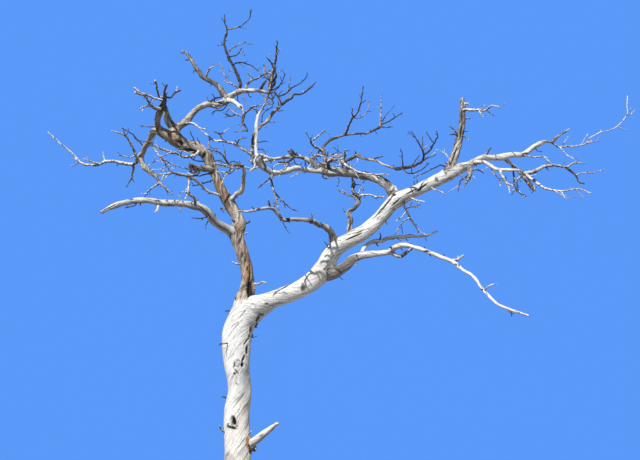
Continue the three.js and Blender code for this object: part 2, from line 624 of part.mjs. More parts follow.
mass('twigs_arch', {
  from: 'middle_bough', girth: 17, depth: -60, seed: 29, finish: SILVER,
  stem: [[850, 5435], [872, 5528], [950, 5562], [1010, 5535]],
  shoots: [
    [-120, 8, [985, 5545], [1030, 5590], [1036, 5662]],
    [20, 7, [880, 5535], [930, 5600], [1010, 5612]],
    [60, 6, [860, 5500], [760, 5540], [682, 5652]],
    [-190, 10, [1000, 5540], [1080, 5470], [1180, 5420], [1300, 5400], [1480, 5398]],
  ],
});
mass('twigs_knot', {
  from: 'knot_bough', girth: 16, depth: -420, seed: 30,
  stem: [[1550, 5456], [1640, 5467], [1750, 5495], [1815, 5545], [1832, 5615], [1800, 5700], [1710, 5862]],
  shoots: [
    [-600, 9, [1833, 5600], [1900, 5660], [1960, 5760], [1985, 5805], [1965, 5852]],
    [-300, 7, [1832, 5620], [1822, 5700], [1828, 5802]],
    [-180, 7, [1700, 5482], [1745, 5540], [1792, 5602]],
    [-200, 7, [1810, 5530], [1880, 5575], [1962, 5610]],
    [-420, 7, [1600, 5458], [1700, 5405], [1830, 5462], [1880, 5522]],
    [-330, 6, [1620, 5465], [1615, 5580], [1602, 5667]],
  ],
});
mass('twigs_stump', {
  from: 'stump_bough', girth: 13, depth: -120, seed: 31,
  stem: [[2243, 6085], [2290, 6092], [2400, 6087], [2480, 6095], [2545, 6137], [2642, 6108]],
  shoots: [[20, 6, [2480, 6092], [2562, 6028]], [-160, 6, [2405, 6087], [2452, 6010]]],
});
mass('twigs_s', {
  from: 's_bough', girth: 10, depth: -40, seed: 38, finish: SILVER,
  stem: [[1165, 5125], [1195, 5176], [1265, 5180], [1350, 5166], [1425, 5160]],
  shoots: [[160, 6, [1190, 5170], [1218, 5235]]],
});
mass('twigs_below', {
  from: 'right_bough_middle', girth: 11, depth: -330, seed: 32,
  stem: [[1610, 5140], [1635, 5050], [1680, 4940], [1740, 4850], [1765, 4785]],
  shoots: [[-120, 6, [1675, 4940], [1610, 4905], [1525, 4762]], [-380, 6, [1640, 5040], [1710, 5060], [1785, 5045]]],
});
mass('twigs_droop', {
  from: 'right_bough_upper', girth: 22, depth: -200, seed: 33,
  stem: [[2285, 5500], [2300, 5400], [2262, 5330], [2220, 5250]],
  shoots: [[60, 8, [2295, 5430], [2370, 5450], [2440, 5405]], [-260, 8, [2295, 5400], [2200, 5330], [2166, 5222]]],
});
mass('twigs_under', {
  from: 'under_bough', girth: 9, depth: -520, seed: 34,
  stem: [[2590, 5452], [2640, 5350], [2675, 5290], [2692, 5202]],
  shoots: [[-380, 6, [2620, 5395], [2655, 5308]], [-600, 6, [2670, 5300], [2722, 5278]]],
});
mass('twigs_tip', {
  from: 'right_bough_upper', girth: 11, depth: 420, seed: 35, finish: SILVER,
  stem: [[3130, 5740], [3200, 5692], [3330, 5698], [3480, 5722], [3530, 5778], [3620, 5835], [3730, 5865], [3815, 5908],
    [3925, 6050], [3930, 6140], [3945, 6242]],
  shoots: [
    [60, 8, [3150, 5735], [3230, 5815], [3332, 5882]],
    [120, 8, [3215, 5690], [3290, 5605], [3347, 5560]],
    [540, 5, [3915, 6030], [3960, 6040], [4007, 6086]],
    [620, 6, [3480, 5722], [3560, 5745], [3622, 5752]],
  ],
});
mass('twigs_end', {
  from: 'end_bough', girth: 18, depth: 620, seed: 36, finish: SILVER,
  stem: [[2850, 5403], [2940, 5425], [3020, 5465], [3100, 5495], [3200, 5488], [3270, 5472], [3350, 5512],
    [3462, 5515]],
  shoots: [
    [520, 12, [3270, 5470], [3360, 5392], [3400, 5310], [3452, 5300]],
    [700, 7, [3365, 5385], [3420, 5410], [3562, 5411]],
    [80, 13, [2855, 5405], [2925, 5345], [3060, 5245], [3220, 5222], [3380, 5242], [3502, 5200]],
    [-20, 6, [3200, 5222], [3242, 5150]],
    [400, 9, [2852, 5404], [2935, 5245], [2910, 5200]],
    [180, 9, [2852, 5404], [2770, 5330], [2785, 5215], [2860, 5150]],
    [420, 7, [3110, 5498], [3080, 5575], [2950, 5582]],
  ],
});

export default tree;
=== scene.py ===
# A dead tree, bare and long without bark: sun-bleached wood with a spiral grain, a fork above head
# height, long crooked boughs and tufts of leafless twigs. Z is up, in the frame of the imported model.
#
# The tables give the tree as an eye in front of it sees it, in millimetres. A place is (across, up):
# where the eye's line of sight meets the upright plane through the foot. Its depth is how far behind
# that plane it lies, and LIMBS and MASSES give it before DEPTH_SCALE. Only the meshes are in metres.
import math
from collections import namedtuple

import bmesh
import bpy
import numpy as np
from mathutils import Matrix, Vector


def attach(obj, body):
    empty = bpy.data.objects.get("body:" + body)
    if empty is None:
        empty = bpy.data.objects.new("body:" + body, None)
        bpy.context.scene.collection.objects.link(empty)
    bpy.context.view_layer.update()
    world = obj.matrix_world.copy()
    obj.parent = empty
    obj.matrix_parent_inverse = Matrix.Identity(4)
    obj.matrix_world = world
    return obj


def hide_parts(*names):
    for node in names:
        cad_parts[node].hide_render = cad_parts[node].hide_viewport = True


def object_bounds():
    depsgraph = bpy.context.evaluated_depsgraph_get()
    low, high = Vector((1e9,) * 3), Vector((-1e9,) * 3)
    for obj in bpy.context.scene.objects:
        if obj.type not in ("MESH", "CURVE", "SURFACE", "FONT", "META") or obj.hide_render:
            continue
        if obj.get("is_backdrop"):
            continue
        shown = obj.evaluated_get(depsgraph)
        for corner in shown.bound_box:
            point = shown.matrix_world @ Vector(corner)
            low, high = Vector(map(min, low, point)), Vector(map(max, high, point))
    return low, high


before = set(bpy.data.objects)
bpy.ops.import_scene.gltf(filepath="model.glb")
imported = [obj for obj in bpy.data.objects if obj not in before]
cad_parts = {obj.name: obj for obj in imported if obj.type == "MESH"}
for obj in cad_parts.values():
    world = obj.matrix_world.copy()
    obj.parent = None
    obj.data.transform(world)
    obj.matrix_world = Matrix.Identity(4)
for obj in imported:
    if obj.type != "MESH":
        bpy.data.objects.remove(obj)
cad_low, cad_high = (np.array(corner) * 1000 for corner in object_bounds())

# The eye that the tables were drawn for
EYE_DISTANCE = 12000.0
EYE_ACROSS = 780.0
EYE_HEIGHT = 1600.0
DEPTH_SCALE = 1.8

# Foot and section of the wood
FLARE = 120.0
FLARE_HEIGHT = 230.0
BUTTRESSES = 5
BUTTRESS_SWELL = 0.24
OVAL = 0.05
TWIST_LENGTH = 900.0

# The rule of the twigs, as in the source: how far from its root a side twig or a shoot may touch wood,
# the gap that the rest keeps, the angle at which a side twig leaves, how far it bends down or up, how it
# narrows, and the room of a mass round its shoots
ROOT_CLEAR = 15.0
SHOOT_CLEAR = 90.0
TWIG_CLEAR = 3.0
SIDE_ANGLE_LOW = 0.6
SIDE_ANGLE_HIGH = 1.15
SIDE_SAG = 0.1
SIDE_RISE = 0.4
NARROWING = 0.8
TWIG_TIP = 3.0
ROOM = 150.0
HALF_DEPTH = 230.0

# Side twigs: their spacing, the shortest and the longest, and the radius of root and tip. SIDE is the
# source's own rule, FINE and SPRIG carry it on, and the rest is for twigs and spurs straight on a limb,
# with the least radius of their tips
SIDE = {"every": 240.0, "short": 60.0, "long": 170.0, "root": 5.0, "tip": TWIG_TIP}
FINE = {"every": 100.0, "short": 22.0, "long": 95.0, "root": 5.2, "tip": 3.2}
SPRIG = {"every": 105.0, "short": 12.0, "long": 38.0, "root": 4.0, "tip": 2.7}
ON_LIMB = {"every": 110.0, "short": 16.0, "long": 60.0, "root": 4.6, "tip": 2.9}
ON_REACHING = {**ON_LIMB, "every": 130.0}
SPUR = {"every": 95.0, "short": 14.0, "long": 60.0, "root": 7.0, "tip": 3.2}
REACHING_CLEAR = 120.0
REACHING_TIP = 4.0
LIMB_TWIG_TIP = 3.4
TRUNK_SPURS_FROM = 260.0
LOOSE_SEED = 404

# How stout the twigs of a mass are, their least radius and how far apart its finer twigs stand, where
# LOOKS gives no other
USUAL_STOUTNESS = 1.3
LEAST = 4.2
USUAL_SPACING = 1.5

# Slope of the grain along the limbs, and of the trunk's spiral, at lengths along it and on into the
# right bough. Every piece takes its own stretch of the pattern, so far from the last one's
GRAIN_SLOPE = {"left_stem": 0.35}
USUAL_SLOPE = 0.22
SPIRAL = ([3700, 4700], [0.7, 0.25])
GRAIN_APART = 2700

# How rough and how old the limbs are, where CHAINS and AGES give no other
ROUGHNESS = {"broken_stub": 2.6}
USUAL_ROUGHNESS = 1.3
USUAL_AGE = {"silver": 0.12, "tan": 0.3, "grey": 0.3}

# Relief of the wood: how often a form comes round and along the grain, and its depth as a share of the
# radius. The trunk's own piece is calmer: it has shallower flutes, and only a share of the rest
LUMPS = {"round": 1.2, "along": 0.33, "depth": 0.13}
FLUTES = {"round": 3.1, "along": 0.2, "depth": 0.1}
GROOVES = {"round": 6.5, "along": 0.3, "depth": 0.05, "width": 0.07}
CALM_FLUTES = 0.06
CALM_GROOVES = 0.3
CALM_KNOBS = 0.35
CALM_SCARS = 0.5
# The trunk's share of the darker undersides, which are less-bleached wood and painted shade
CALM_SHADED_UNDERSIDE = 0.45

# Fineness of the limbs' meshes: the number of sides, the width of one and the spacing of the rings
TRUNK_SIDES = 112
MOST_SIDES = 60
LEAST_SIDES = 14
SIDE_WIDTH = 7
TRUNK_RING = 10.0
WIDEST_RING = 9.0
NARROWEST_RING = 5.5

# A torn tip: how far back it reaches, how deep it is torn and how far its core is sunk, against its radius
TORN_REACH = 2.2
TORN_DEPTH = 1.6
TORN_CORE = 0.7

# The collar where a limb leaves its carrier: its height and width as shares of the limb's radius, and
# how dark the painted shade in its creases is, on thin wood and on wood stouter than STOUT
COLLAR_HEIGHT = 0.30
COLLAR_WIDTH = 0.5
CREASE_SHADE = 0.8
STOUT_CREASE_SHADE = 0.1
STOUT = 90

# Limbs: the one that each springs from, the depth of its tip, its finish, and its places with the
# radius there
LIMBS = {
    "trunk": (None, 0, "silver", [(0, 0, 172), (-12, 500, 160), (-28, 1200, 150), (-28, 1900, 142),
        (-5, 2600, 133), (-14, 3000, 119), (2, 3200, 114), (-25, 3450, 128), (-33, 3650, 137),
        (-18, 3790, 136), (32, 3905, 127), (118, 3990, 109)]),
    "trunk_snag": ("trunk", -150, "silver", [(60, 2640, 42), (150, 2715, 38), (230, 2790, 36),
        (310, 2848, 28), (350, 2880, 18), (392, 2900, 6)]),
    "right_bough_lower": ("trunk", -80, "silver", [(118, 3990, 109), (232, 4064, 94), (330, 4113, 87),
        (480, 4168, 85), (610, 4225, 88), (740, 4320, 93), (830, 4440, 90)]),
    "right_bough_middle": ("right_bough_lower", -120, "silver", [(830, 4440, 90), (875, 4550, 85),
        (960, 4645, 84), (1100, 4725, 80), (1240, 4805, 72), (1400, 4960, 67), (1500, 5080, 66),
        (1620, 5160, 66)]),
    "right_bough_upper": ("right_bough_middle", 240, "silver", [(1620, 5160, 66), (1780, 5240, 61),
        (1920, 5315, 58), (2060, 5385, 56), (2200, 5458, 50), (2320, 5520, 43), (2430, 5572, 34),
        (2590, 5575, 33), (2720, 5603, 28), (2840, 5608, 26), (2900, 5645, 27), (2970, 5700, 26),
        (3070, 5745, 21), (3130, 5740, 15)]),
    "left_stem_lower": ("trunk", 60, "tan", [(20, 3950, 106), (40, 4105, 97), (60, 4190, 82),
        (69, 4250, 70), (62, 4320, 65), (46, 4450, 67), (2, 4600, 66), (-44, 4720, 68), (-55, 4800, 68),
        (-30, 4880, 66), (-50, 4960, 60), (-100, 5040, 57)]),
    "left_stem_upper": ("left_stem_lower", -60, "tan", [(-100, 5040, 57), (-150, 5125, 57),
        (-205, 5220, 56), (-256, 5330, 52), (-295, 5430, 48), (-345, 5530, 49), (-400, 5625, 52),
        (-475, 5680, 58), (-600, 5705, 60), (-690, 5765, 62), (-760, 5805, 54), (-840, 5860, 42)]),
    "left_bough": ("left_stem_lower", -480, "silver", [(-50, 4780, 52), (-170, 4830, 46), (-270, 4890, 45),
        (-335, 4975, 44), (-430, 5055, 38), (-600, 5090, 34), (-800, 5095, 31), (-1000, 5125, 28),
        (-1150, 5108, 26), (-1280, 5068, 20), (-1415, 5000, 8)]),
    "white_bough": ("left_stem_upper", -150, "silver", [(-215, 5140, 17), (-330, 5210, 13),
        (-440, 5305, 14), (-530, 5368, 16)]),
    "broken_stub": ("left_stem_upper", -170, "tan", [(-320, 5450, 44), (-420, 5455, 38), (-495, 5465, 31),
        (-545, 5487, 22)]),
    "riser": ("left_stem_upper", -160, "tan", [(-125, 5090, 26), (-75, 5175, 23), (-10, 5225, 21),
        (0, 5320, 20), (8, 5410, 19), (0, 5490, 16)]),
    "west_bough": ("left_stem_upper", -150, "grey", [(-840, 5860, 42), (-878, 5930, 34), (-873, 6010, 30),
        (-850, 6095, 30)]),
    "arc_bough": ("left_stem_upper", 350, "tan", [(-690, 5765, 56), (-700, 5865, 50), (-650, 5925, 39),
        (-590, 5965, 35), (-530, 6040, 33), (-465, 6110, 31), (-390, 6150, 30), (-300, 6140, 30),
        (-210, 6175, 31), (-140, 6245, 30)]),
    "west_brace": ("arc_bough", -60, "grey", [(-700, 5890, 38), (-755, 5950, 35), (-790, 6030, 31),
        (-803, 6110, 20)]),
    "horn": ("arc_bough", 600, "grey", [(-176, 6209, 30), (-244, 6318, 29), (-340, 6395, 27),
        (-440, 6470, 25), (-510, 6560, 22), (-560, 6650, 19), (-592, 6700, 15), (-650, 6745, 9)]),
    "neck_bough": ("arc_bough", 150, "silver", [(-185, 6200, 30), (-110, 6183, 27), (-50, 6135, 25),
        (-10, 6092, 20), (-2, 6030, 13)]),
    "rail": ("arc_bough", 190, "silver", [(-170, 6210, 30), (-60, 6283, 26), (50, 6305, 23),
        (150, 6300, 20), (280, 6275, 13)]),
    "far_left_bough": ("left_stem_upper", 260, "tan", [(-790, 5830, 38), (-905, 5850, 32), (-950, 5780, 29),
        (-995, 5700, 26), (-1030, 5620, 25), (-1065, 5555, 23)]),
    "tail_bough": ("far_left_bough", 120, "grey", [(-1050, 5585, 24), (-1000, 5485, 28), (-940, 5420, 24),
        (-885, 5375, 19), (-845, 5310, 10)]),
    "snake_bough": ("right_bough_middle", -430, "grey", [(945, 4640, 36), (915, 4740, 32), (885, 4805, 30),
        (830, 4848, 27), (755, 4875, 25), (690, 4915, 23), (560, 4920, 20), (420, 4925, 20),
        (365, 4970, 20), (310, 5035, 19), (250, 5045, 16), (110, 5015, 13), (-30, 5012, 8)]),
    "s_bough": ("right_bough_middle", 190, "grey", [(1090, 4730, 29), (1076, 4830, 26), (1092, 4925, 22),
        (1060, 5000, 19), (1120, 5045, 19), (1172, 5095, 21), (1140, 5165, 24), (1108, 5230, 16),
        (1112, 5325, 13)]),
    "low_bough_inner": ("right_bough_lower", -160, "tan", [(800, 4390, 60), (905, 4368, 54),
        (1000, 4424, 50), (1110, 4516, 46), (1220, 4560, 37), (1350, 4572, 30), (1450, 4582, 28)]),
    "low_bough_outer": ("low_bough_inner", -820, "silver", [(1450, 4582, 28), (1530, 4632, 27),
        (1630, 4655, 26), (1750, 4628, 25), (1900, 4575, 23), (2100, 4490, 21), (2200, 4405, 18),
        (2290, 4345, 18), (2400, 4195, 17), (2490, 4095, 16), (2590, 4025, 15), (2830, 3945, 11)]),
    "low_spur": ("low_bough_inner", 130, "silver", [(1190, 4560, 20), (1215, 4635, 17), (1280, 4683, 20),
        (1370, 4705, 20), (1480, 4732, 19), (1620, 4743, 17), (1830, 4758, 12), (1950, 4805, 8)]),
    "stump_bough": ("right_bough_upper", 130, "grey", [(2050, 5380, 48), (2090, 5470, 43), (2135, 5570, 39),
        (2178, 5690, 36), (2207, 5790, 35), (2224, 5900, 35), (2232, 6000, 33), (2243, 6100, 29),
        (2245, 6225, 19)]),
    "middle_bough": ("right_bough_middle", 250, "silver", [(1560, 5120, 60), (1505, 5215, 50),
        (1445, 5300, 46), (1360, 5350, 43), (1250, 5385, 41), (1120, 5402, 40), (1000, 5415, 42),
        (900, 5422, 42), (820, 5445, 46), (760, 5475, 38)]),
    "middle_rail": ("middle_bough", 220, "silver", [(760, 5475, 35), (695, 5525, 29), (630, 5567, 23),
        (560, 5590, 19), (450, 5588, 17), (350, 5568, 16), (260, 5550, 16), (100, 5515, 14)]),
    "sag_bough": ("middle_bough", -40, "silver", [(840, 5440, 34), (740, 5432, 24), (620, 5450, 25),
        (540, 5468, 29), (470, 5445, 29), (380, 5412, 28), (300, 5415, 27), (230, 5455, 27),
        (175, 5488, 25), (140, 5550, 21)]),
    "upright_bough": ("sag_bough", 40, "silver", [(140, 5550, 21), (134, 5640, 19), (128, 5760, 18),
        (130, 5900, 17), (142, 6030, 17), (185, 6105, 15), (225, 6190, 15), (253, 6290, 20),
        (268, 6400, 22), (292, 6490, 16), (310, 6590, 10)]),
    "dark_bough": ("middle_rail", 330, "grey", [(124, 5520, 16), (96, 5600, 15), (95, 5720, 17),
        (103, 5810, 15), (160, 5900, 15), (230, 5955, 15), (290, 6040, 17), (340, 6100, 15),
        (385, 6150, 12)]),
    "crown_bough": ("middle_bough", 640, "grey", [(835, 5450, 34), (838, 5540, 29), (812, 5620, 22),
        (822, 5700, 15), (880, 5760, 13), (960, 5795, 13), (1040, 5822, 13), (1160, 5830, 11),
        (1290, 5852, 11), (1385, 5900, 11)]),
    "knot_bough": ("middle_bough", -180, "grey", [(1080, 5410, 20), (1040, 5530, 15), (1095, 5570, 16),
        (1160, 5592, 20), (1250, 5562, 13), (1340, 5545, 12), (1450, 5490, 11), (1550, 5456, 14)]),
    "end_bough": ("right_bough_upper", 330, "silver", [(2640, 5585, 28), (2685, 5540, 23), (2740, 5488, 21),
        (2800, 5432, 21), (2850, 5403, 18)]),
    "under_bough": ("right_bough_upper", -330, "silver", [(2330, 5515, 24), (2415, 5530, 19),
        (2495, 5503, 18), (2575, 5455, 17), (2680, 5450, 15), (2790, 5438, 12)]),
}

# Masses of twigs: the limb that carries it, the radius of its stem, the depth of its tip, the seed of its
# side twigs, its finish, the places of its stem, and its shoots with the depth of the tip and the radius
MASSES = {
    "twigs_hook": {
        "carrier": "rail", "girth": 15, "depth": 200, "seed": 11, "finish": "grey",
        "stem": [(-75, 6275), (-40, 6380), (-75, 6480), (-120, 6580), (-170, 6670), (-200, 6760),
            (-215, 6850), (-195, 6930), (-190, 6990), (-212, 7060), (-218, 7150)],
        "shoots": [
            (60, 6, [(-188, 6985), (-100, 7000), (-20, 7040), (45, 7110), (66, 7210)]),
            (160, 7, [(-125, 6590), (-60, 6613), (40, 6590), (140, 6515)]),
            (420, 6, [(-185, 6720), (-110, 6785), (10, 6840)]),
            (120, 6, [(-175, 6680), (-85, 6695), (-30, 6770)]),
            (460, 8, [(-60, 6330), (-150, 6390), (-195, 6460), (-255, 6610)]),
        ],
    },
    "twigs_rail": {
        "carrier": "rail", "girth": 11, "depth": 420, "seed": 12, "finish": "grey",
        "stem": [(10, 6300), (20, 6360), (70, 6405), (130, 6440), (200, 6485), (195, 6600)],
        "shoots": [
            (480, 6, [(100, 6425), (40, 6482)]),
            (250, 6, [(160, 6460), (240, 6500), (262, 6530)]),
        ],
    },
    "twigs_neck": {
        "carrier": "neck_bough", "girth": 13, "depth": 60, "seed": 20, "finish": "grey",
        "stem": [(-2, 6030), (-14, 5970), (2, 5940), (32, 5890), (42, 5850)],
        "shoots": [
            (120, 9, [(0, 6045), (50, 6090), (120, 6098), (150, 6080)]),
            (60, 9, [(10, 6080), (100, 6130), (200, 6142), (262, 6165), (318, 6262)]),
            (330, 8, [(-15, 6020), (-90, 6055), (-145, 6105), (-172, 6142)]),
            (420, 6, [(-75, 6048), (-140, 6018), (-212, 6062)]),
            (-60, 6, [(0, 5945), (-32, 5906)]),
            (160, 6, [(38, 5862), (-78, 5860)]),
        ],
    },
    "twigs_west": {
        "carrier": "west_bough", "girth": 30, "depth": -330, "seed": 13, "finish": "grey",
        "stem": [(-850, 6095), (-820, 6190), (-812, 6250), (-822, 6300), (-800, 6365)],
        "shoots": [
            (-180, 12, [(-812, 6230), (-760, 6225), (-710, 6280), (-655, 6305)]),
            (-450, 13, [(-820, 6205), (-880, 6250), (-895, 6330), (-930, 6412)]),
            (-250, 13, [(-822, 6190), (-900, 6215), (-960, 6240), (-1050, 6268), (-1130, 6330)]),
            (-480, 20, [(-850, 6100), (-920, 6112), (-970, 6160), (-1010, 6230), (-1125, 6285)]),
            (-600, 7, [(-960, 6135), (-1060, 6112)]),
        ],
    },
    "twigs_far_left": {
        "carrier": "far_left_bough", "girth": 15, "depth": 430, "seed": 14, "finish": "grey",
        "stem": [(-1065, 5555), (-1110, 5505), (-1220, 5518), (-1400, 5540), (-1460, 5502), (-1630, 5512),
            (-1690, 5570), (-1730, 5620), (-1870, 5735), (-1995, 5852)],
        "shoots": [
            (100, 13, [(-1070, 5550), (-1115, 5670), (-1180, 5785), (-1230, 5825), (-1345, 5865)]),
            (420, 12, [(-1110, 5510), (-1108, 5430), (-1130, 5340), (-1178, 5257)]),
            (160, 7, [(-1085, 5605), (-1165, 5580), (-1272, 5605)]),
            (560, 6, [(-1400, 5540), (-1418, 5602)]),
            (300, 6, [(-1450, 5510), (-1530, 5530), (-1622, 5562)]),
            (480, 6, [(-1660, 5530), (-1700, 5500), (-1745, 5492)]),
            (60, 6, [(-1215, 5810), (-1228, 5900)]),
        ],
    },
    "twigs_tail": {
        "carrier": "tail_bough", "girth": 9, "depth": -20, "seed": 15, "finish": "grey",
        "stem": [(-845, 5310), (-790, 5268), (-700, 5185)],
        "shoots": [
            (330, 7, [(-838, 5305), (-930, 5238), (-982, 5155)]),
        ],
    },
    "twigs_veil": {
        "carrier": "left_stem_upper", "girth": 12, "depth": -330, "seed": 16, "finish": "grey",
        "stem": [(-450, 5660), (-480, 5605), (-570, 5582), (-640, 5600), (-700, 5632), (-790, 5600),
            (-850, 5580)],
        "shoots": [
            (-420, 6, [(-700, 5632), (-830, 5665), (-915, 5705), (-930, 5760)]),
            (-200, 6, [(-845, 5582), (-780, 5540), (-640, 5475)]),
            (-480, 6, [(-640, 5600), (-600, 5700)]),
        ],
    },
    "twigs_white": {
        "carrier": "white_bough", "girth": 17, "depth": -380, "seed": 17, "finish": "silver",
        "stem": [(-530, 5368), (-620, 5395), (-720, 5412), (-800, 5400), (-895, 5388)],
        "shoots": [
            (-300, 7, [(-545, 5375), (-543, 5290), (-552, 5200), (-575, 5130)]),
            (-520, 6, [(-720, 5412), (-780, 5500), (-830, 5560)]),
            (-450, 6, [(-800, 5400), (-815, 5330)]),
        ],
    },
    "twigs_left": {
        "carrier": "left_bough", "girth": 13, "depth": 60, "seed": 18, "finish": "silver",
        "stem": [(-440, 5060), (-460, 5120), (-505, 5165), (-562, 5205)],
        "shoots": [
            (130, 6, [(-500, 5160), (-560, 5250)]),
        ],
    },
    "twigs_row": {
        "carrier": "riser", "girth": 14, "depth": -380, "seed": 19, "finish": "grey",
        "stem": [(0, 5490), (-60, 5492), (-140, 5505), (-180, 5560), (-230, 5625), (-375, 5668)],
        "shoots": [
            (-300, 6, [(-185, 5570), (-190, 5662)]),
            (-420, 8, [(-130, 5500), (-210, 5495), (-290, 5515)]),
            (-320, 9, [(-110, 5498), (-150, 5410), (-180, 5375), (-212, 5300)]),
            (-60, 7, [(-20, 5490), (-40, 5540)]),
        ],
    },
    "twigs_centre": {
        "carrier": "dark_bough", "girth": 12, "depth": 330, "seed": 21, "finish": "grey",
        "stem": [(93, 5605), (40, 5640), (-60, 5705), (-200, 5755), (-290, 5757), (-350, 5800),
            (-430, 5862)],
        "shoots": [
            (420, 7, [(-215, 5757), (-240, 5825), (-302, 5852)]),
            (480, 6, [(-238, 5820), (-180, 5862)]),
            (180, 6, [(-345, 5800), (-352, 5665)]),
            (160, 6, [(-75, 5712), (-40, 5770), (30, 5790)]),
        ],
    },
    "twigs_upright": {
        "carrier": "upright_bough", "girth": 10, "depth": -60, "seed": 22, "finish": "grey",
        "stem": [(310, 6590), (325, 6690), (333, 6780), (332, 6862)],
        "shoots": [
            (120, 6, [(314, 6600), (275, 6612), (225, 6672)]),
            (-160, 6, [(325, 6690), (360, 6760)]),
        ],
    },
    "twigs_dark": {
        "carrier": "dark_bough", "girth": 12, "depth": 460, "seed": 23, "finish": "grey",
        "stem": [(385, 6150), (440, 6190), (490, 6218), (520, 6258), (600, 6272), (680, 6328), (732, 6388)],
        "shoots": [
            (180, 8, [(390, 6155), (350, 6235), (312, 6292)]),
            (60, 7, [(350, 6238), (430, 6270), (490, 6330), (560, 6370), (625, 6435), (652, 6500)]),
            (20, 5, [(340, 6330), (390, 6400), (420, 6490)]),
        ],
    },
    "twigs_sag": {
        "carrier": "sag_bough", "girth": 10, "depth": -330, "seed": 24, "finish": "grey",
        "stem": [(300, 5410), (290, 5330), (310, 5250), (345, 5120), (378, 4992)],
        "shoots": [
            (-120, 7, [(325, 5215), (420, 5105), (500, 5032), (562, 5010)]),
            (40, 7, [(292, 5375), (220, 5310), (150, 5250)]),
        ],
    },
    "twigs_crown_top": {
        "carrier": "crown_bough", "girth": 12, "depth": 760, "seed": 26, "finish": "grey",
        "stem": [(1385, 5900), (1400, 5960), (1405, 6100), (1416, 6272)],
        "shoots": [
            (560, 7, [(1390, 5915), (1460, 5900), (1522, 5906)]),
            (460, 7, [(1395, 5925), (1500, 5975), (1622, 6062)]),
            (820, 6, [(1400, 5960), (1440, 6000), (1476, 6062)]),
        ],
    },
    "twigs_crown_rise": {
        "carrier": "crown_bough", "girth": 11, "depth": 240, "seed": 27, "finish": "grey",
        "stem": [(1030, 5820), (1080, 5930), (1118, 6005), (1175, 6095), (1205, 6200), (1226, 6352)],
        "shoots": [
            (480, 6, [(1118, 6005), (1200, 6010), (1262, 6065), (1286, 6182)]),
            (330, 6, [(1112, 5995), (1112, 6112)]),
        ],
    },
    "twigs_crown_left": {
        "carrier": "crown_bough", "girth": 11, "depth": 140, "seed": 28, "finish": "grey",
        "stem": [(812, 5640), (750, 5680), (692, 5730), (702, 5765), (790, 5830), (832, 5874)],
        "shoots": [
            (420, 7, [(780, 5660), (740, 5590), (712, 5545)]),
            (60, 6, [(695, 5735), (685, 5785)]),
        ],
    },
    "twigs_arch": {
        "carrier": "middle_bough", "girth": 17, "depth": -60, "seed": 29, "finish": "silver",
        "stem": [(850, 5435), (872, 5528), (950, 5562), (1010, 5535)],
        "shoots": [
            (-120, 8, [(985, 5545), (1030, 5590), (1036, 5662)]),
            (20, 7, [(880, 5535), (930, 5600), (1010, 5612)]),
            (60, 6, [(860, 5500), (760, 5540), (682, 5652)]),
            (-190, 10, [(1000, 5540), (1080, 5470), (1180, 5420), (1300, 5400), (1480, 5398)]),
        ],
    },
    "twigs_knot": {
        "carrier": "knot_bough", "girth": 16, "depth": -420, "seed": 30, "finish": "grey",
        "stem": [(1550, 5456), (1640, 5467), (1750, 5495), (1815, 5545), (1832, 5615), (1800, 5700),
            (1710, 5862)],
        "shoots": [
            (-600, 9, [(1833, 5600), (1900, 5660), (1960, 5760), (1985, 5805), (1965, 5852)]),
            (-300, 7, [(1832, 5620), (1822, 5700), (1828, 5802)]),
            (-180, 7, [(1700, 5482), (1745, 5540), (1792, 5602)]),
            (-200, 7, [(1810, 5530), (1880, 5575), (1962, 5610)]),
            (-420, 7, [(1600, 5458), (1700, 5405), (1830, 5462), (1880, 5522)]),
            (-330, 6, [(1620, 5465), (1615, 5580), (1602, 5667)]),
        ],
    },
    "twigs_stump": {
        "carrier": "stump_bough", "girth": 13, "depth": -120, "seed": 31, "finish": "grey",
        "stem": [(2243, 6085), (2290, 6092), (2400, 6087), (2480, 6095), (2545, 6137), (2642, 6108)],
        "shoots": [
            (20, 6, [(2480, 6092), (2562, 6028)]),
            (-160, 6, [(2405, 6087), (2452, 6010)]),
        ],
    },
    "twigs_s": {
        "carrier": "s_bough", "girth": 10, "depth": -40, "seed": 38, "finish": "silver",
        "stem": [(1165, 5125), (1195, 5176), (1265, 5180), (1350, 5166), (1425, 5160)],
        "shoots": [
            (160, 6, [(1190, 5170), (1218, 5235)]),
        ],
    },
    "twigs_below": {
        "carrier": "right_bough_middle", "girth": 11, "depth": -330, "seed": 32, "finish": "grey",
        "stem": [(1610, 5140), (1635, 5050), (1680, 4940), (1740, 4850), (1765, 4785)],
        "shoots": [
            (-120, 6, [(1675, 4940), (1610, 4905), (1525, 4762)]),
            (-380, 6, [(1640, 5040), (1710, 5060), (1785, 5045)]),
        ],
    },
    "twigs_droop": {
        "carrier": "right_bough_upper", "girth": 22, "depth": -200, "seed": 33, "finish": "grey",
        "stem": [(2285, 5500), (2300, 5400), (2262, 5330), (2220, 5250)],
        "shoots": [
            (60, 8, [(2295, 5430), (2370, 5450), (2440, 5405)]),
            (-260, 8, [(2295, 5400), (2200, 5330), (2166, 5222)]),
        ],
    },
    "twigs_under": {
        "carrier": "under_bough", "girth": 9, "depth": -520, "seed": 34, "finish": "grey",
        "stem": [(2590, 5452), (2640, 5350), (2675, 5290), (2692, 5202)],
        "shoots": [
            (-380, 6, [(2620, 5395), (2655, 5308)]),
            (-600, 6, [(2670, 5300), (2722, 5278)]),
        ],
    },
    "twigs_tip": {
        "carrier": "right_bough_upper", "girth": 11, "depth": 420, "seed": 35, "finish": "silver",
        "stem": [(3130, 5740), (3200, 5692), (3330, 5698), (3480, 5722), (3530, 5778), (3620, 5835),
            (3730, 5865), (3815, 5908), (3925, 6050), (3930, 6140), (3945, 6242)],
        "shoots": [
            (60, 8, [(3150, 5735), (3230, 5815), (3332, 5882)]),
            (120, 8, [(3215, 5690), (3290, 5605), (3347, 5560)]),
            (540, 5, [(3915, 6030), (3960, 6040), (4007, 6086)]),
            (620, 6, [(3480, 5722), (3560, 5745), (3622, 5752)]),
        ],
    },
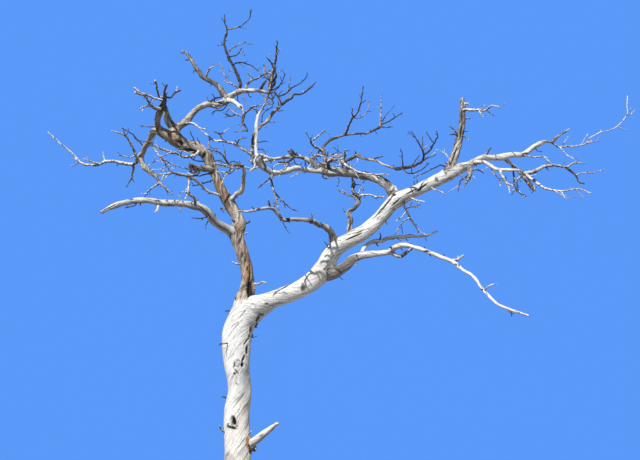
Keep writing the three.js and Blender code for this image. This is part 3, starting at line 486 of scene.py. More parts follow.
    "twigs_end": {
        "carrier": "end_bough", "girth": 18, "depth": 620, "seed": 36, "finish": "silver",
        "stem": [(2850, 5403), (2940, 5425), (3020, 5465), (3100, 5495), (3200, 5488), (3270, 5472),
            (3350, 5512), (3462, 5515)],
        "shoots": [
            (520, 12, [(3270, 5470), (3360, 5392), (3400, 5310), (3452, 5300)]),
            (700, 7, [(3365, 5385), (3420, 5410), (3562, 5411)]),
            (80, 13, [(2855, 5405), (2925, 5345), (3060, 5245), (3220, 5222), (3380, 5242), (3502, 5200)]),
            (-20, 6, [(3200, 5222), (3242, 5150)]),
            (400, 9, [(2852, 5404), (2935, 5245), (2910, 5200)]),
            (180, 9, [(2852, 5404), (2770, 5330), (2785, 5215), (2860, 5150)]),
            (420, 7, [(3110, 5498), (3080, 5575), (2950, 5582)]),
        ],
    },
}

# Twigs that spring straight from a limb: limb, depth of the tip behind the root, radius, tone, places.
# Their order decides the chances
LIMB_TWIGS = [
    ("trunk", -60, 10, "black", [(-110, 3668), (-160, 3672), (-205, 3652)]),
    ("trunk", -190, 8, "black", [(-60, 3690), (-110, 3676), (-190, 3664)]),
    ("trunk", -40, 9, "dark", [(-90, 3985), (-125, 3995), (-150, 3985)]),
    ("trunk", -60, 6, "dark", [(-90, 3830), (-130, 3850), (-140, 3820)]),
    ("trunk", -110, 13, "white", [(-110, 2770), (-150, 2830), (-185, 2880)]),
    ("trunk", 200, 12, "dark", [(60, 1900), (90, 1960), (130, 2010)]),
    ("trunk", -30, 34, "dark", [(92, 2690), (126, 2672), (156, 2640)]),
    ("trunk", -60, 15, "pale", [(120, 2700), (150, 2690), (172, 2650)]),
    ("trunk", 240, 10, "dark", [(-80, 3100), (-120, 3140), (-165, 3150)]),
    ("left_stem_lower", -40, 12, "pale", [(100, 4262), (160, 4270), (212, 4282), (255, 4272)]),
    ("left_stem_lower", -30, 12, "pale", [(10, 4450), (-55, 4472), (-88, 4490)]),
    ("left_stem_lower", -40, 12, "pale", [(-10, 4760), (30, 4772), (62, 4790)]),
    ("left_stem_lower", -30, 13, "dark", [(0, 4880), (48, 4885), (78, 4908)]),
    ("left_stem_lower", 60, 9, "dark", [(-90, 5010), (-215, 5040), (-180, 5000)]),
    ("left_stem_upper", -120, 8, "dark", [(-270, 5365), (-395, 5300), (-510, 5275)]),
    ("left_stem_upper", -160, 8, "dark", [(-290, 5410), (-380, 5392), (-460, 5380), (-560, 5370)]),
    ("left_stem_upper", -180, 7, "dark", [(-440, 5660), (-500, 5760), (-550, 5870)]),
    ("left_stem_upper", -90, 6, "dark", [(-430, 5650), (-442, 5720), (-470, 5790)]),
    ("left_stem_upper", -90, 9, "dark", [(-840, 5860), (-930, 5862), (-960, 5850)]),
    ("west_bough", -160, 7, "dark", [(-870, 5925), (-960, 5902), (-1080, 5930)]),
    ("left_bough", -60, 14, "white", [(-840, 5085), (-846, 5040), (-868, 5000)]),
    ("left_bough", -80, 8, "dark", [(-1050, 5120), (-1080, 5070), (-1180, 5046)]),
    ("left_bough", -150, 8, "dark", [(-330, 4970), (-400, 4938), (-500, 4940)]),
    ("left_bough", -560, 15, "white", [(-455, 5095), (-487, 5148), (-528, 5180), (-569, 5211)]),
    ("left_bough", 90, 8, "dark", [(-300, 4930), (-345, 4900), (-364, 4865)]),
    ("left_bough", 120, 8, "dark", [(-180, 4840), (-250, 4900), (-275, 4990)]),
    ("left_bough", -60, 6, "dark", [(-600, 5090), (-620, 5050), (-610, 5010)]),
    ("horn", -150, 12, "white", [(-400, 6440), (-384, 6510), (-352, 6548), (-322, 6562)]),
    ("horn", 60, 7, "dark", [(-470, 6500), (-520, 6520), (-530, 6490)]),
    ("arc_bough", -150, 13, "pale", [(-620, 5945), (-520, 5942), (-440, 5890), (-385, 5882)]),
    ("arc_bough", -60, 13, "pale", [(-345, 6150), (-262, 6112), (-200, 6170)]),
    ("arc_bough", 90, 13, "dark", [(-400, 6150), (-300, 6215), (-225, 6234)]),
    ("arc_bough", 40, 7, "dark", [(-360, 6160), (-372, 6205), (-388, 6240)]),
    ("arc_bough", -100, 6, "dark", [(-300, 6160), (-312, 6235), (-334, 6266)]),
    ("arc_bough", -130, 7, "dark", [(-150, 6190), (-200, 6100), (-290, 6080), (-330, 6050)]),
    ("far_left_bough", -70, 8, "dark", [(-1000, 5690), (-1100, 5790), (-1180, 5860), (-1240, 5890)]),
    ("far_left_bough", 110, 6, "dark", [(-960, 5760), (-1010, 5740), (-1050, 5760)]),
    ("rail", -60, 7, "dark", [(-15, 6290), (0, 6205), (42, 6140)]),
    ("rail", 80, 6, "dark", [(-60, 6282), (-66, 6230), (-68, 6180)]),
    ("rail", 120, 6, "dark", [(20, 6300), (50, 6250), (82, 6222)]),
    ("rail", -90, 8, "dark", [(140, 6300), (210, 6222), (215, 6150)]),
    ("rail", 50, 7, "dark", [(240, 6282), (238, 6230), (235, 6195)]),
    ("rail", 10, 8, "dark", [(285, 6272), (285, 6200), (235, 6160)]),
    ("rail", -60, 21, "dark", [(155, 6290), (183, 6340), (221, 6411)]),
    ("upright_bough", 60, 7, "dark", [(240, 6240), (300, 6180), (282, 6120)]),
    ("upright_bough", -50, 7, "dark", [(268, 6400), (225, 6440), (175, 6440)]),
    ("upright_bough", 80, 6, "dark", [(292, 6490), (345, 6500), (395, 6535)]),
    ("upright_bough", -70, 7, "dark", [(128, 5740), (185, 5745), (250, 5750)]),
    ("upright_bough", 70, 6, "dark", [(130, 5700), (70, 5705), (10, 5700)]),
    ("upright_bough", -90, 7, "dark", [(134, 5670), (200, 5660), (230, 5610)]),
    ("dark_bough", 60, 7, "dark", [(190, 5925), (185, 6000), (215, 6070), (300, 6122)]),
    ("dark_bough", -60, 7, "dark", [(330, 6085), (365, 6078), (402, 6082)]),
    ("dark_bough", 60, 6, "dark", [(240, 5965), (290, 5950), (340, 5965)]),
    ("snake_bough", -60, 6, "dark", [(390, 4940), (430, 4850), (480, 4780)]),
    ("snake_bough", -50, 12, "dark", [(280, 5040), (268, 5090), (258, 5132)]),
    ("snake_bough", 50, 8, "dark", [(690, 4915), (700, 4960), (690, 4985)]),
    ("middle_rail", -50, 7, "pale", [(675, 5560), (740, 5606), (804, 5593), (860, 5592), (890, 5614)]),
    ("middle_bough", -110, 9, "pale", [(857, 5440), (868, 5553), (932, 5586), (1007, 5593), (1060, 5620)]),
    ("middle_bough", -170, 9, "pale", [(850, 5450), (868, 5545), (986, 5541), (1071, 5491), (1144, 5425)]),
    ("middle_bough", -130, 6, "pale", [(857, 5450), (930, 5488), (1007, 5491), (1134, 5491)]),
    ("middle_bough", -60, 7, "dark", [(1013, 5425), (1013, 5507), (1028, 5571), (1029, 5648)]),
    ("middle_rail", -120, 7, "pale", [(690, 5515), (655, 5463), (568, 5412), (485, 5368)]),
    ("sag_bough", -90, 7, "pale", [(480, 5450), (442, 5469), (396, 5422), (358, 5380)]),
    ("sag_bough", -60, 6, "pale", [(304, 5420), (310, 5470), (351, 5507), (409, 5507), (430, 5480)]),
    ("middle_rail", -60, 6, "dark", [(405, 5575), (436, 5518), (486, 5507), (537, 5529)]),
    ("middle_rail", 60, 6, "dark", [(506, 5590), (527, 5518), (567, 5497), (600, 5520)]),
    ("sag_bough", 50, 6, "dark", [(456, 5444), (476, 5486), (436, 5507), (400, 5490)]),
    ("middle_bough", 70, 6, "dark", [(800, 5430), (815, 5370), (845, 5350), (861, 5359), (881, 5401)]),
    ("middle_rail", 90, 6, "dark", [(577, 5588), (628, 5538), (638, 5475), (610, 5450)]),
    ("upright_bough", -60, 19, "dark", [(256, 6263), (270, 6351), (284, 6451), (299, 6539)]),
    ("upright_bough", 50, 15, "dark", [(276, 6307), (311, 6373), (290, 6462), (248, 6506)]),
    ("upright_bough", -20, 13, "dark", [(265, 6373), (321, 6439), (315, 6528), (314, 6617)]),
    ("upright_bough", -60, 9, "dark", [(300, 6540), (272, 6617), (229, 6667)]),
    ("upright_bough", -50, 9, "dark", [(262, 6340), (266, 6399), (232, 6473), (196, 6595)]),
    ("upright_bough", 60, 8, "dark", [(280, 6450), (253, 6462), (222, 6495)]),
    ("upright_bough", 80, 8, "dark", [(256, 6300), (335, 6325), (388, 6395), (413, 6473)]),
    ("upright_bough", -90, 8, "dark", [(250, 6280), (307, 6274), (348, 6220), (388, 6156)]),
    ("s_bough", -60, 9, "pale", [(1130, 5160), (1092, 5169), (1042, 5190), (1002, 5232)]),
    ("s_bough", -30, 7, "pale", [(1150, 5150), (1183, 5232), (1203, 5274)]),
    ("s_bough", -50, 8, "dark", [(1120, 5230), (1140, 5290), (1118, 5345)]),
    ("s_bough", -60, 8, "dark", [(1108, 5160), (1010, 5200), (955, 5255), (970, 5330), (960, 5370)]),
    ("s_bough", -60, 6, "dark", [(1110, 5290), (1180, 5286), (1212, 5272)]),
    ("s_bough", 40, 7, "dark", [(1062, 5000), (1030, 5010), (1005, 5040)]),
    ("low_bough_inner", -60, 8, "dark", [(1110, 4516), (1140, 4470), (1132, 4440)]),
    ("low_bough_outer", -160, 21, "white", [(1475, 4590), (1570, 4548), (1650, 4592), (1705, 4636)]),
    ("low_bough_outer", 80, 18, "pale", [(2080, 4500), (2140, 4512), (2208, 4552)]),
    ("low_bough_outer", -120, 8, "pale", [(2400, 4195), (2440, 4240), (2520, 4268)]),
    ("low_bough_outer", -40, 6, "dark", [(2620, 4015), (2650, 3975), (2680, 3965)]),
    ("low_spur", -60, 9, "dark", [(1370, 4705), (1382, 4750), (1372, 4785)]),
    ("stump_bough", -80, 9, "pale", [(2205, 5800), (2140, 5880), (2095, 5918)]),
    ("stump_bough", -110, 10, "dark", [(2200, 5790), (2150, 5822), (2105, 5822)]),
    ("stump_bough", -60, 9, "pale", [(2220, 5830), (2262, 5795), (2305, 5768)]),
    ("stump_bough", -40, 10, "dark", [(2240, 5990), (2290, 5998), (2316, 6004)]),
    ("stump_bough", -40, 12, "white", [(2240, 6150), (2285, 6160), (2318, 6150)]),
    ("stump_bough", -30, 14, "white", [(2238, 6130), (2244, 6170), (2238, 6205)]),
    ("stump_bough", -200, 8, "pale", [(2085, 5460), (2000, 5492), (1930, 5462), (1850, 5420),
        (1720, 5360)]),
    ("stump_bough", 120, 6, "pale", [(2100, 5520), (2060, 5610), (2010, 5645), (1950, 5662)]),
    ("right_bough_upper", -60, 14, "dark", [(2450, 5580), (2482, 5640), (2522, 5682)]),
    ("right_bough_upper", -60, 7, "pale", [(2820, 5600), (2950, 5582), (3050, 5584), (3085, 5555),
        (3122, 5500)]),
    ("right_bough_upper", -160, 10, "white", [(1860, 5280), (1960, 5228), (2045, 5188)]),
    ("right_bough_upper", -160, 11, "white", [(1650, 5160), (1740, 5130), (1840, 5106)]),
    ("right_bough_upper", -60, 7, "dark", [(2960, 5690), (2990, 5650), (3040, 5640)]),
    ("right_bough_upper", 90, 9, "dark", [(1780, 5240), (1770, 5310), (1750, 5350)]),
    ("right_bough_middle", -60, 9, "dark", [(1400, 4960), (1440, 4900), (1450, 4870)]),
    ("right_bough_middle", -80, 10, "pale", [(900, 4600), (860, 4640), (830, 4690)]),
    ("middle_bough", -120, 8, "pale", [(840, 5440), (850, 5490), (950, 5487), (1050, 5500), (1160, 5490)]),
    ("middle_bough", -150, 9, "dark", [(1000, 5415), (1005, 5520), (1042, 5600), (1026, 5622),
        (1040, 5664)]),
    ("middle_bough", 90, 9, "dark", [(840, 5440), (832, 5590), (880, 5612), (960, 5604), (1012, 5612)]),
    ("middle_bough", 60, 9, "dark", [(760, 5480), (700, 5590), (745, 5598), (790, 5580)]),
    ("middle_bough", -70, 8, "dark", [(860, 5420), (845, 5370), (872, 5348)]),
    ("middle_bough", -40, 8, "dark", [(1250, 5385), (1230, 5330), (1205, 5300)]),
    ("knot_bough", -50, 9, "dark", [(1300, 5550), (1340, 5562), (1370, 5576), (1422, 5592)]),
    ("knot_bough", -40, 9, "dark", [(1150, 5590), (1142, 5620), (1136, 5642)]),
    ("end_bough", -60, 11, "silver", [(2720, 5505), (2738, 5400), (2745, 5260), (2790, 5200),
        (2860, 5160)]),
    ("end_bough", -80, 9, "grey", [(2790, 5440), (2850, 5340), (2905, 5285), (2935, 5240)]),
    ("end_bough", 60, 9, "pale", [(2840, 5408), (2900, 5380), (2960, 5392)]),
    ("right_bough_upper", -60, 14, "dark", [(3130, 5732), (3194, 5796), (3258, 5839), (3326, 5882)]),
    ("under_bough", 30, 15, "grey", [(2792, 5422), (2858, 5327), (2906, 5264), (2945, 5232),
        (2927, 5285), (2956, 5253)]),
    ("under_bough", -50, 8, "pale", [(2495, 5503), (2540, 5400), (2590, 5340), (2600, 5270)]),
    ("left_stem_upper", -190, 7, "white", [(-468, 5612), (-572, 5585), (-692, 5630), (-829, 5675),
        (-924, 5719)]),
    ("broken_stub", -60, 7, "white", [(-504, 5444), (-552, 5452), (-654, 5488), (-757, 5532),
        (-843, 5577)]),
    ("far_left_bough", -80, 7, "white", [(-924, 5719), (-907, 5675), (-861, 5603), (-834, 5568),
        (-756, 5505), (-704, 5452)]),
    ("left_stem_upper", -150, 8, "black", [(-435, 5497), (-497, 5550), (-564, 5603)]),
    ("tail_bough", -60, 6, "white", [(-924, 5488), (-821, 5444), (-753, 5417)]),
    ("tail_bough", 60, 6, "white", [(-961, 5486), (-922, 5518), (-872, 5539), (-800, 5518)]),
    ("left_stem_upper", -130, 10, "white", [(-324, 5518), (-263, 5512), (-164, 5479), (-90, 5469),
        (-20, 5477)]),
    ("sag_bough", -60, 9, "white", [(163, 5486), (105, 5462), (31, 5469), (-30, 5479), (-111, 5492),
        (-212, 5507)]),
    ("left_stem_upper", -150, 7, "white", [(-302, 5428), (-248, 5426), (-163, 5417), (-110, 5437),
        (-62, 5444)]),
    ("riser", -60, 7, "black", [(-20, 5475), (-90, 5444), (-140, 5401), (-170, 5418)]),
    ("left_stem_upper", -120, 7, "black", [(-314, 5539), (-244, 5546), (-172, 5512), (-184, 5585),
        (-185, 5657)]),
    ("left_stem_upper", -120, 6, "black", [(-291, 5401), (-241, 5433), (-197, 5395), (-212, 5320)]),
    ("riser", -50, 6, "black", [(-30, 5497), (-102, 5539), (-132, 5518), (-161, 5465)]),
    ("upright_bough", -70, 7, "white", [(142, 5518), (61, 5539), (74, 5578), (138, 5603), (222, 5603),
        (255, 5595)]),
    ("sag_bough", -70, 7, "white", [(153, 5465), (88, 5515), (205, 5568), (256, 5568)]),
    ("broken_stub", -60, 19, "white", [(-434, 5454), (-496, 5490), (-537, 5508)]),
    ("broken_stub", -30, 17, "dark", [(-444, 5444), (-504, 5418), (-539, 5435)]),
    ("broken_stub", -80, 12, "black", [(-465, 5465), (-515, 5458), (-550, 5475)]),
    ("broken_stub", 10, 12, "white", [(-423, 5433), (-463, 5401), (-513, 5386), (-559, 5412)]),
    ("trunk", -40, 10, "black", [(76, 3538), (97, 3592), (87, 3641)]),
    ("trunk", -30, 10, "black", [(100, 3675), (117, 3730), (105, 3779)]),
    ("trunk", -30, 11, "black", [(119, 3784), (147, 3833), (169, 3867)]),
    ("west_brace", -240, 21, "dark", [(-800, 6090), (-812, 6140), (-822, 6200)]),
    ("s_bough", 10, 12, "dark", [(1117, 5317), (1108, 5353), (1106, 5391)]),
    ("snake_bough", -40, 9, "white", [(8, 5018), (-22, 5010), (-62, 5002)]),
]

# Twigs that reach out towards the eye, where they cast their shadows on the right bough: limb, or none
# for one that springs from the twigs before, radius, tone, and places with their depths
REACHING = [
    ("middle_rail", 13, "dark", [(560, 5590, 427), (540, 5600, -100), (505, 5628, -650), (492, 5633, -1000),
        (501, 5576, -1000), (483, 5552, -1000), (441, 5524, -1000), (412, 5520, -1000), (358, 5527, -1000)]),
    (None, 10, "dark", [(501, 5576, -1000), (483, 5573, -1000), (449, 5583, -1000), (411, 5587, -1000)]),
    (None, 10, "pale", [(430, 5522, -1000), (462, 5495, -1000), (466, 5540, -1000)]),
    (None, 10, "dark", [(448, 5500, -1000), (427, 5450, -1000), (395, 5446, -1000)]),
    ("middle_rail", 12, "pale", [(590, 5582, 430), (600, 5580, -200), (587, 5574, -950), (558, 5579, -950),
        (503, 5589, -950), (449, 5651, -950)]),
    ("sag_bough", 13, "pale", [(230, 5455, 24), (215, 5500, -400), (213, 5592, -1100), (284, 5574, -1100),
        (320, 5560, -1100), (334, 5561, -1100), (317, 5540, -1100)]),
    (None, 10, "pale", [(243, 5580, -1100), (274, 5546, -1100), (283, 5516, -1100)]),
    (None, 13, "white", [(213, 5592, -1100), (180, 5606, -1100), (147, 5593, -1100), (115, 5541, -1100),
        (117, 5475, -1100), (78, 5431, -1100)]),
    (None, 10, "white", [(117, 5469, -1100), (149, 5453, -1100)]),
]

# Masses whose main twigs differ from the rest: how stout they are, their tone, their least radius and how
# far apart their finer twigs stand, as a share of the rule's spacing
LOOKS = {
    "twigs_hook": (1.25, "dark", 5.0, 1.0),
    "twigs_knot": (1.1, "dark", 4.2, 1.5),
    "twigs_west": (1.0, "silver", 10.0, 1.5),
    "twigs_far_left": (1.35, "white", 5.0, 1.5),
    "twigs_tail": (1.5, "silver", 5.0, 1.5),
    "twigs_white": (1.1, "white", 5.0, 1.5),
    "twigs_left": (1.4, "white", 5.0, 2.0),
    "twigs_veil": (1.3, "pale", 4.2, 1.2),
    "twigs_row": (1.1, "silver", 4.2, 1.2),
    "twigs_centre": (1.5, "silver", 4.2, 1.2),
    "twigs_crown_top": (1.3, "dark", 4.8, 1.6),
    "twigs_crown_rise": (1.3, "dark", 4.8, 1.6),
    "twigs_crown_left": (1.3, "grey", 4.8, 1.6),
    "twigs_arch": (1.3, "pale", 4.8, 2.0),
    "twigs_tip": (0.8, "white", 5.0, 9.0),
    "twigs_stump": (1.3, "white", 5.0, 2.0),
    "twigs_end": (1.3, "pale", 5.0, 2.2),
    "twigs_under": (1.3, "pale", 5.0, 2.2),
    "twigs_droop": (1.3, "silver", 4.6, 1.6),
}

# How old and dark the wood is along a limb's piece: shares of its length, and darkness
AGES = {
    "main_stem": ([0, 0.45, 0.5, 0.62, 0.74, 0.86, 0.93, 1], [-0.05, 0.0, 0.1, 0.16, 0.2, 0.35, 0.1, 0.2]),
    "trunk_snag_wood": ([0, 1], [0.0, -0.05]),
    "left_stem": ([0, 0.05, 0.09, 0.3, 0.5, 0.62, 0.85, 1], [-1.0, -0.9, 0.45, 0.4, 0.35, 0.25, 0.1, 0.25]),
    "left_bough_wood": ([0, 0.3, 0.5, 0.7, 1], [0.15, 0.1, 0.0, -0.1, -0.1]),
    "white_bough_wood": ([0, 1], [-0.1, -0.1]),
    "broken_stub_wood": ([0, 0.5, 1], [0.1, 0.25, 0.6]),
    "riser_wood": ([0, 1], [-0.9, -0.8]),
    "west_brace_wood": ([0, 1], [-0.1, -0.4]),
    "arc_bough_wood": ([0, 0.45, 0.7, 1], [0.05, -0.1, -0.7, -0.8]),
    "horn_wood": ([0, 0.3, 1], [0.75, 0.85, 0.7]),
    "neck_bough_wood": ([0, 0.6, 1], [0.1, 0.3, 0.7]),
    "rail_wood": ([0, 0.5, 1], [0.7, 0.5, 0.8]),
    "far_left_bough_wood": ([0, 1], [0.0, -0.15]),
    "tail_bough_wood": ([0, 0.5, 1], [0.3, 0.75, 0.7]),
    "snake_bough_wood": ([0, 0.2, 1], [0.3, -0.4, -0.5]),
    "s_bough_wood": ([0, 0.3, 0.6, 1], [0.7, 0.45, 0.6, 0.6]),
    "low_limb": ([0, 0.16, 0.27, 1], [0.8, 0.6, 0.05, 0.12]),
    # The low spur's age below 0 is painted light: it makes wood that lies in the right bough's shadow
    # lighter
    "low_spur_wood": ([0, 1], [-0.9, -0.9]),
    "stump_bough_wood": ([0, 0.3, 0.6, 0.8, 1], [-0.2, 0.2, 0.6, 0.6, 0.3]),
    "middle_limb": ([0, 0.1, 0.45, 0.55, 0.7, 1], [0.85, 0.75, 0.75, 0.8, 0.6, 0.3]),
    "sag_limb": ([0, 0.1, 0.3, 0.4, 0.67, 0.72, 1], [0.6, 0.3, 0.1, -0.15, -0.15, 0.85, 0.95]),
    "dark_bough_wood": ([0, 1], [0.5, 0.7]),
    "crown_bough_wood": ([0, 0.3, 1], [0.9, 0.8, 0.7]),
    "knot_bough_wood": ([0, 1], [0.6, 0.5]),
    "end_bough_wood": ([0, 0.5, 1], [0.8, 0.4, 0.2]),
    "under_bough_wood": ([0, 1], [0.35, 0.4]),
}

# Hollows, knots and stains on the side that faces the eye, by piece: across, up, half width, half height,
# lean in radians, depth (a knot's is below 0, because it stands out), how dark it is and how orange
MARKS = {
    "main_stem": [
        (-46, 2922, 20, 40, -0.3, 46, 1.0, 0.0),
        (-62, 2880, 40, 9, 0.15, -14, 0.0, 0.0),
        (-70, 2856, 50, 9, 0.2, 22, 1.0, 0.0),
        (-100, 2872, 14, 14, 0.0, 12, 0.7, 0.0),
        (-22, 3475, 22, 26, 0.3, -10, 0.35, 0.0),
        (28, 3465, 14, 24, 0.1, 36, 1.0, 0.0),
        (36, 3520, 10, 34, 0.4, 26, 1.0, 0.1),
        (-52, 3462, 8, 30, 0.15, 18, 0.95, 0.0),
        (-18, 3506, 26, 6, 0.2, 10, 0.8, 0.0),
        (70, 3610, 12, 40, 0.1, 16, 0.9, 0.2),
        (62, 3690, 8, 48, 0.6, 12, 0.85, 0.0),
        (-30, 3400, 32, 7, 0.85, 12, 0.9, 0.0),
        (-48, 3376, 12, 9, 0.0, 14, 1.0, 0.0),
        (-22, 3275, 12, 7, 0.5, 10, 0.8, 0.0),
        (166, 3922, 13, 34, 0.5, 14, 0.8, 0.6),
        (205, 3962, 30, 9, 0.2, 10, 0.8, 0.3),
        (28, 3965, 5, 62, 0.72, 7, 0.75, 0.0),
        (12, 3140, 5, 48, 0.7, 6, 0.7, 0.0),
        (60, 3060, 4, 40, 0.75, 5, 0.6, 0.0),
        (100, 3810, 10, 28, 0.1, 12, 0.8, 0.4),
        (88, 3745, 7, 20, 0.1, 10, 0.8, 0.1),
        (62, 3380, 34, 30, 0.3, 3, 0.14, 0.0),
        (96, 2705, 20, 55, -0.1, 6, 0.0, 1.0),
        (122, 2655, 16, 40, 0.0, 26, 1.0, 0.4),
        (-90, 2560, 60, 50, 0.2, 3, 0.3, 0.15),
        (610, 4236, 15, 30, 0.2, 10, 0.75, 0.2),
        (425, 4180, 13, 9, 0.2, 8, 0.7, 0.0),
        (255, 4062, 20, 10, 0.4, 8, 0.6, 0.1),
        (1430, 5066, 130, 8, -0.86, 20, 1.0, 0.1),
        (1124, 4750, 82, 7, -0.42, 18, 0.95, 0.1),
        (1545, 5105, 60, 8, -0.75, 9, 0.75, 0.0),
        (1180, 4800, 50, 8, -0.5, 9, 0.75, 0.0),
        (1700, 5215, 60, 8, -0.5, 10, 0.75, 0.0),
        (1808, 5259, 63, 10, -0.63, 14, 0.9, 0.0),
        (1960, 5342, 14, 30, -0.4, 10, 0.8, 0.0),
        (2045, 5430, 12, 40, -0.3, 14, 0.85, 0.0),
        (2870, 5600, 30, 24, 0.1, 12, 0.85, 0.9),
    ],
    "left_stem": [
        (93, 4203, 34, 105, -0.06, 46, 1.0, 0.1),
        (84, 4330, 10, 60, 0.05, 14, 0.7, 0.1),
        (-20, 4700, 12, 50, 0.5, 10, 0.7, 0.2),
        (62, 4450, 24, 150, 0.12, 3, 0.0, 0.55),
        (30, 4640, 20, 60, 0.1, 3, 0.1, 0.6),
        (8, 4560, 9, 30, 0.2, 10, 0.9, 0.2),
        (62, 4420, 8, 26, 0.2, 10, 0.9, 0.2),
        (-20, 4860, 24, 40, 0.3, 3, 0.0, 0.4),
        (-235, 5300, 20, 90, 0.35, 3, 0.0, 0.6),
        (-190, 5160, 20, 60, 0.45, 3, 0.1, 0.45),
        (-300, 5440, 18, 36, 0.2, 12, 0.85, 0.2),
        (-350, 5480, 26, 12, 0.2, 10, 0.85, 0.1),
        (-395, 5600, 16, 40, 0.5, 14, 0.9, 0.1),
        (-690, 5790, 40, 22, 0.3, 4, 0.1, 0.6),
        (-150, 5140, 10, 60, 0.5, 12, 0.8, 0.2),
        (-640, 5740, 50, 22, 0.3, 20, 0.9, 0.2),
        (-540, 5655, 60, 12, 0.2, 14, 0.9, 0.1),
    ],
    "left_bough_wood": [
        (-1125, 5140, 34, 12, 0.1, 6, 0.9, 0.1),
        (-1325, 5052, 60, 7, -0.45, 8, 0.7, 0.3),
        (-1385, 5020, 30, 6, -0.45, 10, 0.8, 0.1),
        (-838, 5080, 22, 34, 0.0, -8, 0.0, 0.0),
        (-860, 5118, 20, 8, 0.2, 8, 0.85, 0.1),
        (-735, 5075, 40, 6, 0.05, 8, 0.7, 0.1),
        (-380, 5018, 60, 7, 0.75, 8, 0.7, 0.1),
        (-300, 4925, 60, 7, 0.9, 8, 0.7, 0.1),
        (-205, 4846, 50, 7, 0.5, 8, 0.7, 0.1),
    ],
    "broken_stub_wood": [
        (-505, 5478, 14, 16, 0.2, 18, 1.0, 0.0),
        (-455, 5455, 18, 8, -0.4, 14, 0.9, 0.1),
        (-405, 5482, 24, 7, 0.3, 12, 0.9, 0.1),
        (-428, 5426, 26, 7, 0.2, 10, 0.85, 0.0),
        (-478, 5492, 14, 14, 0.0, -12, 0.3, 0.0),
    ],
    "stump_bough_wood": [
        (2232, 6020, 8, 60, 0.0, 14, 0.9, 0.0),
        (2100, 5500, 9, 80, -0.35, 10, 0.8, 0.0),
        (2222, 5877, 8, 93, 0.15, 14, 1.0, 0.0),
        (2140, 5598, 9, 97, 0.35, 14, 0.95, 0.0),
        (2249, 6122, 7, 55, -0.02, 12, 0.9, 0.0),
    ],
    "low_limb": [
        (1843, 4599, 40, 14, -0.4, 9, 0.95, 0.2),
        (2117, 4451, 24, 13, -0.6, 9, 0.9, 0.1),
        (960, 4400, 50, 10, 0.6, 10, 0.7, 0.2),
    ],
    "middle_limb": [
        (1500, 5215, 10, 60, 0.6, 10, 0.8, 0.2),
        (1180, 5402, 70, 6, 0.0, 10, 0.8, 0.1),
        (804, 5480, 26, 24, 0.0, -16, 0.6, 0.1),
        (1458, 5324, 10, 66, -0.7, 12, 0.85, 0.3),
        (1246, 5430, 8, 61, -1.44, 10, 0.8, 0.3),
    ],
    "arc_bough_wood": [
        (-230, 6160, 36, 9, 0.3, 14, 0.9, 0.1),
    ],
    "s_bough_wood": [
        (1122, 5148, 26, 26, 0.0, -20, 0.25, 0.1),
        (1116, 5146, 9, 16, 0.6, 14, 0.8, 0.1),
        (1082, 4898, 8, 63, -0.04, 10, 0.85, 0.2),
    ],
    "sag_limb": [
        (280, 6351, 24, 48, 0.1, -12, 0.95, 0.1),
        (276, 6450, 22, 44, 0.1, -9, 0.9, 0.1),
    ],
    "snake_bough_wood": [
        (165, 5030, 18, 30, 0.0, 0, 0.85, 0.0),
        (460, 4932, 18, 30, 0.0, 0, 0.85, 0.0),
        (690, 4920, 16, 30, 0.0, -4, 0.7, 0.0),
    ],
}

# Limbs that show slimmer or stouter than their solids: shares of the piece's length, and of the radius
STOUTNESS = {
    "neck_bough_wood": ([0, 0.6, 0.75, 1], [0.9, 0.88, 0.55, 0.5]),
    "end_bough_wood": ([0, 1], [0.8, 0.8]),
    "broken_stub_wood": ([0, 1], [0.82, 0.82]),
    "sag_limb": ([0, 0.66, 0.73, 0.85, 1], [1.0, 1.0, 0.66, 0.75, 0.6]),
    "left_bough_wood": ([0, 0.5, 0.75, 0.9, 1], [1.0, 1.0, 1.0, 1.25, 1.4]),
    "low_limb": ([0, 0.3, 0.5, 1], [1.0, 1.0, 0.88, 0.88]),
}

# Limbs that carry on from one another's tips share one piece: its name, its nodes, its finish and how
# rough it is
CHAINS = [
    ("main_stem", ["trunk", "right_bough_lower", "right_bough_middle", "right_bough_upper"], "silver", 0.75),
    ("left_stem", ["left_stem_lower", "left_stem_upper", "west_bough"], "tan", 1.3),
    ("low_limb", ["low_bough_inner", "low_bough_outer"], "silver", 1.0),
    ("middle_limb", ["middle_bough", "middle_rail"], "silver", 1.3),
    ("sag_limb", ["sag_bough", "upright_bough"], "silver", 1.1),
]

# A run of wood: its points, and the radius, the length so far and the direction at each of them. A line
# that carries on from another's tip is led by a point that many points before it
Line = namedtuple("Line", "point radius along heading")
PER_SPAN = 12
LEAD = 14


def seen(across, up, depth):
    """Where a place lies in the frame when it is so deep."""
    spread = (EYE_DISTANCE + depth) / EYE_DISTANCE
    return (
        EYE_ACROSS + (across - EYE_ACROSS) * spread,
        depth,
        EYE_HEIGHT + (up - EYE_HEIGHT) * spread,
    )


def picture(point):
    """Where the eye sees points: across and up on the upright plane through the foot."""
    spread = EYE_DISTANCE / (EYE_DISTANCE + point[..., 1])
    across = EYE_ACROSS + (point[..., 0] - EYE_ACROSS) * spread
    return across, EYE_HEIGHT + (point[..., 2] - EYE_HEIGHT) * spread


def seeded(seed):
    """The source's chain of chances from 0 to 1."""
    state = seed

    def chance():
        nonlocal state
        state = (state + 0x6D2B79F5) & 0xFFFFFFFF
        mixed = ((state ^ (state >> 15)) * (1 | state)) & 0xFFFFFFFF
        mixed = ((mixed + (mixed ^ (mixed >> 7)) * (61 | mixed)) ^ mixed) & 0xFFFFFFFF
        return (mixed ^ (mixed >> 14)) / 4294967296

    return chance


